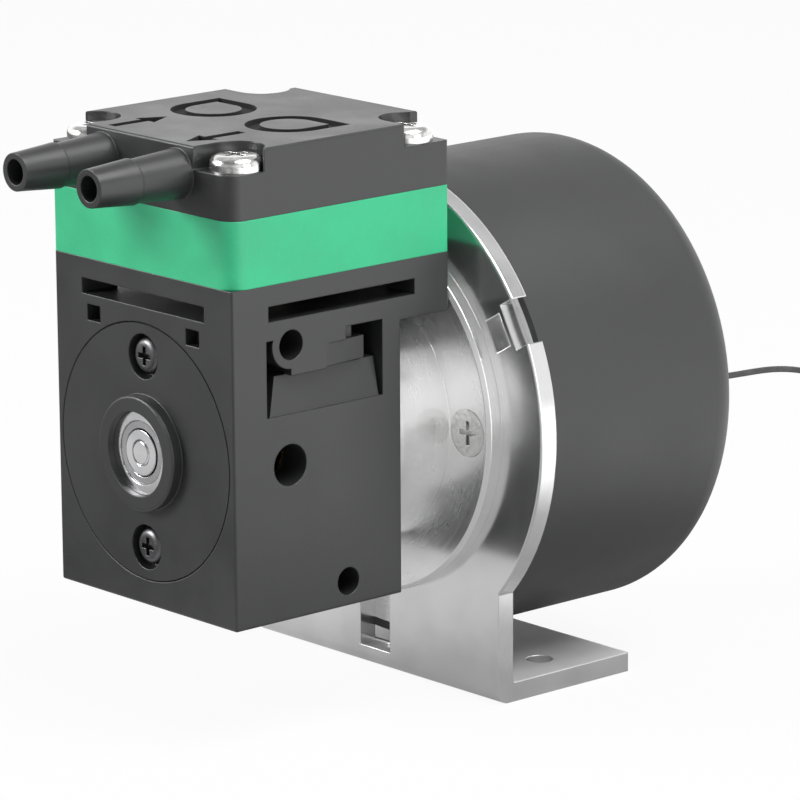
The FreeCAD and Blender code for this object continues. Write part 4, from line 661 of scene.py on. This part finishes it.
class AddLead(bpy.types.Operator):
    """Adds the motor lead, wound into a coil near its connector"""

    bl_idname = "pump.add_lead"
    bl_label = "Add the lead"

    def execute(self, context):
        sizes = context.scene.pump_sizes
        # The route's last point stands for the coil's first one.
        route = LEAD_ROUTE + coil_points(sizes)[1:] + TAIL_ROUTE
        curve = bpy.data.curves.new("motor_lead_line", "CURVE")
        curve.dimensions = "3D"
        curve.resolution_u = 6
        curve.bevel_depth = sizes.lead_diameter / 2
        curve.bevel_resolution = 3
        curve.use_fill_caps = True
        spline = curve.splines.new("NURBS")
        spline.points.add(len(route) - 1)
        for point, place in zip(spline.points, route):
            point.co = (*(part * MM for part in place), 1)
        spline.order_u = 3
        spline.use_endpoint_u = True
        lead = bpy.data.objects.new("lead_cable", curve)
        context.scene.collection.objects.link(lead)
        curve.materials.append(bpy.data.materials["Lead jacket"])
        context.view_layer.update()
        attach(lead, "housing")
        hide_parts("motor_lead", "lead_coil", "lead_tail")
        round(line_length(lead), 4)
        return {"FINISHED"}


class BuildStudio(bpy.types.Operator):
    """Adds the floor, the soft lights and the camera"""

    bl_idname = "pump.build_studio"
    bl_label = "Build the studio"

    def execute(self, context):
        scene = context.scene
        scene.view_settings.view_transform = "Standard"
        self.add_floor()
        self.set_world(scene)
        self.add_lamps(scene)
        self.add_camera(scene)
        return {"FINISHED"}

    def add_floor(self):
        """White where the camera sees it, banded where the pump mirrors it, and grey under the lamps."""
        bpy.ops.object.select_all(action="DESELECT")
        bpy.ops.mesh.primitive_plane_add(size=FLOOR_WIDTH, location=(0, 0, 0))
        floor = bpy.context.object
        floor.name = "studio_floor"
        finish = Finish("Studio floor")
        seen, mirrored = finish.rays()
        across, along = finish.parts(finish.place)[:2]
        share = (across + along - BANDS_START) / BANDS_REACH
        bands = FLOOR_GLEAM * finish.ramp(share, FLOOR_BANDS)
        strength = seen + (1 - seen) * bands
        glow = finish.output("ShaderNodeEmission", {}, {"Color": grey(1.0), "Strength": strength})
        floor.data.materials.append(finish.done(grey(FLOOR_GREY), 0.9))
        plain = Wire(finish, finish.surface.outputs[0])
        mix = finish.mixed(seen * FLOOR_SEEN + mirrored * FLOOR_MIRRORED, plain, glow)
        finish.feed(finish.tree.nodes["Material Output"].inputs["Surface"], mix)

    def set_world(self, scene):
        """White behind the pump, a soft grey dome for the light, and a banded one for reflections."""
        world = bpy.data.worlds.new("Studio world")
        scene.world = world
        world.use_nodes = True
        sky = NodeMaker(world.node_tree)
        seen, mirrored = sky.rays()
        across, along, up = sky.parts(sky.output("ShaderNodeTexCoord", {}, {}, "Generated"))
        height = sky.ramp((up + 1) / 2, DOME_HEIGHTS)
        turned = sky.maths("ARCTAN2", along, across)
        side = sky.ramp((turned + math.pi) / (2 * math.pi), DOME_SIDES)
        dome = sky.tree.nodes["Background"]
        sky.feed(dome.inputs["Color"], grey(DOME_GREY))
        banded = sky.output("ShaderNodeBackground", {}, {"Color": height * side, "Strength": DOME_GLEAM})
        white = sky.output("ShaderNodeBackground", {}, {"Color": grey(1.0)})
        lit = sky.mixed(mirrored, Wire(sky, dome.outputs[0]), banded)
        sky.feed(sky.tree.nodes["World Output"].inputs["Surface"], sky.mixed(seen, lit, white))

    def add_lamps(self, scene):
        for name, place, sides, setting in LAMPS:
            light = bpy.data.lights.new(name, "AREA")
            light.shape = "RECTANGLE"
            light.size, light.size_y = sides
            light.energy = getattr(scene.pump_studio, setting)
            lamp = bpy.data.objects.new(name, light)
            lamp.location = place
            lamp.rotation_euler = (LAMP_AIM - Vector(place)).to_track_quat("-Z", "Y").to_euler()
            scene.collection.objects.link(lamp)

    def add_camera(self, scene):
        studio = scene.pump_studio
        data = bpy.data.cameras.new("product_camera")
        data.lens = studio.lens
        data.sensor_width = 36
        data.shift_x, data.shift_y = CAMERA_SHIFTS
        data.clip_start = 0.05
        data.clip_end = 20
        camera = bpy.data.objects.new("product_camera", data)
        camera.matrix_world = (
            Matrix.Translation(CAMERA_PLACE)
            @ Matrix.Rotation(studio.azimuth, 4, "Z")
            @ Matrix.Rotation(math.pi / 2 - studio.elevation, 4, "X")
            @ Matrix.Rotation(studio.roll, 4, "Z")
        )
        scene.collection.objects.link(camera)
        scene.camera = camera


class PumpPanel(bpy.types.Panel):
    """Lists the sizes, the colours, the studio's settings and the steps"""

    bl_idname = "VIEW3D_PT_pump"
    bl_label = "Pump"
    bl_space_type = "VIEW_3D"
    bl_region_type = "UI"
    bl_category = "Pump"

    def draw(self, context):
        for name in GROUPS:
            group = getattr(context.scene, name)
            for field in group.bl_rna.properties:
                if field.identifier not in ("rna_type", "name"):
                    self.layout.prop(group, field.identifier)
        for operator in OPERATORS:
            self.layout.operator(operator.bl_idname)


GROUPS = {"pump_sizes": PumpSizes, "pump_colours": PumpColours, "pump_studio": PumpStudio}
OPERATORS = (FinishNodes, AddLead, BuildStudio)
CLASSES = (*GROUPS.values(), *OPERATORS, PumpPanel)


def register():
    for item in CLASSES:
        bpy.utils.register_class(item)
    for name, group in GROUPS.items():
        setattr(bpy.types.Scene, name, PointerProperty(type=group))


def unregister():
    for name in GROUPS:
        delattr(bpy.types.Scene, name)
    for item in reversed(CLASSES):
        bpy.utils.unregister_class(item)


def main():
    register()
    bpy.ops.pump.finish_nodes()
    bpy.ops.pump.add_lead()
    bpy.ops.pump.build_studio()


if __name__ == "__main__":
    main()
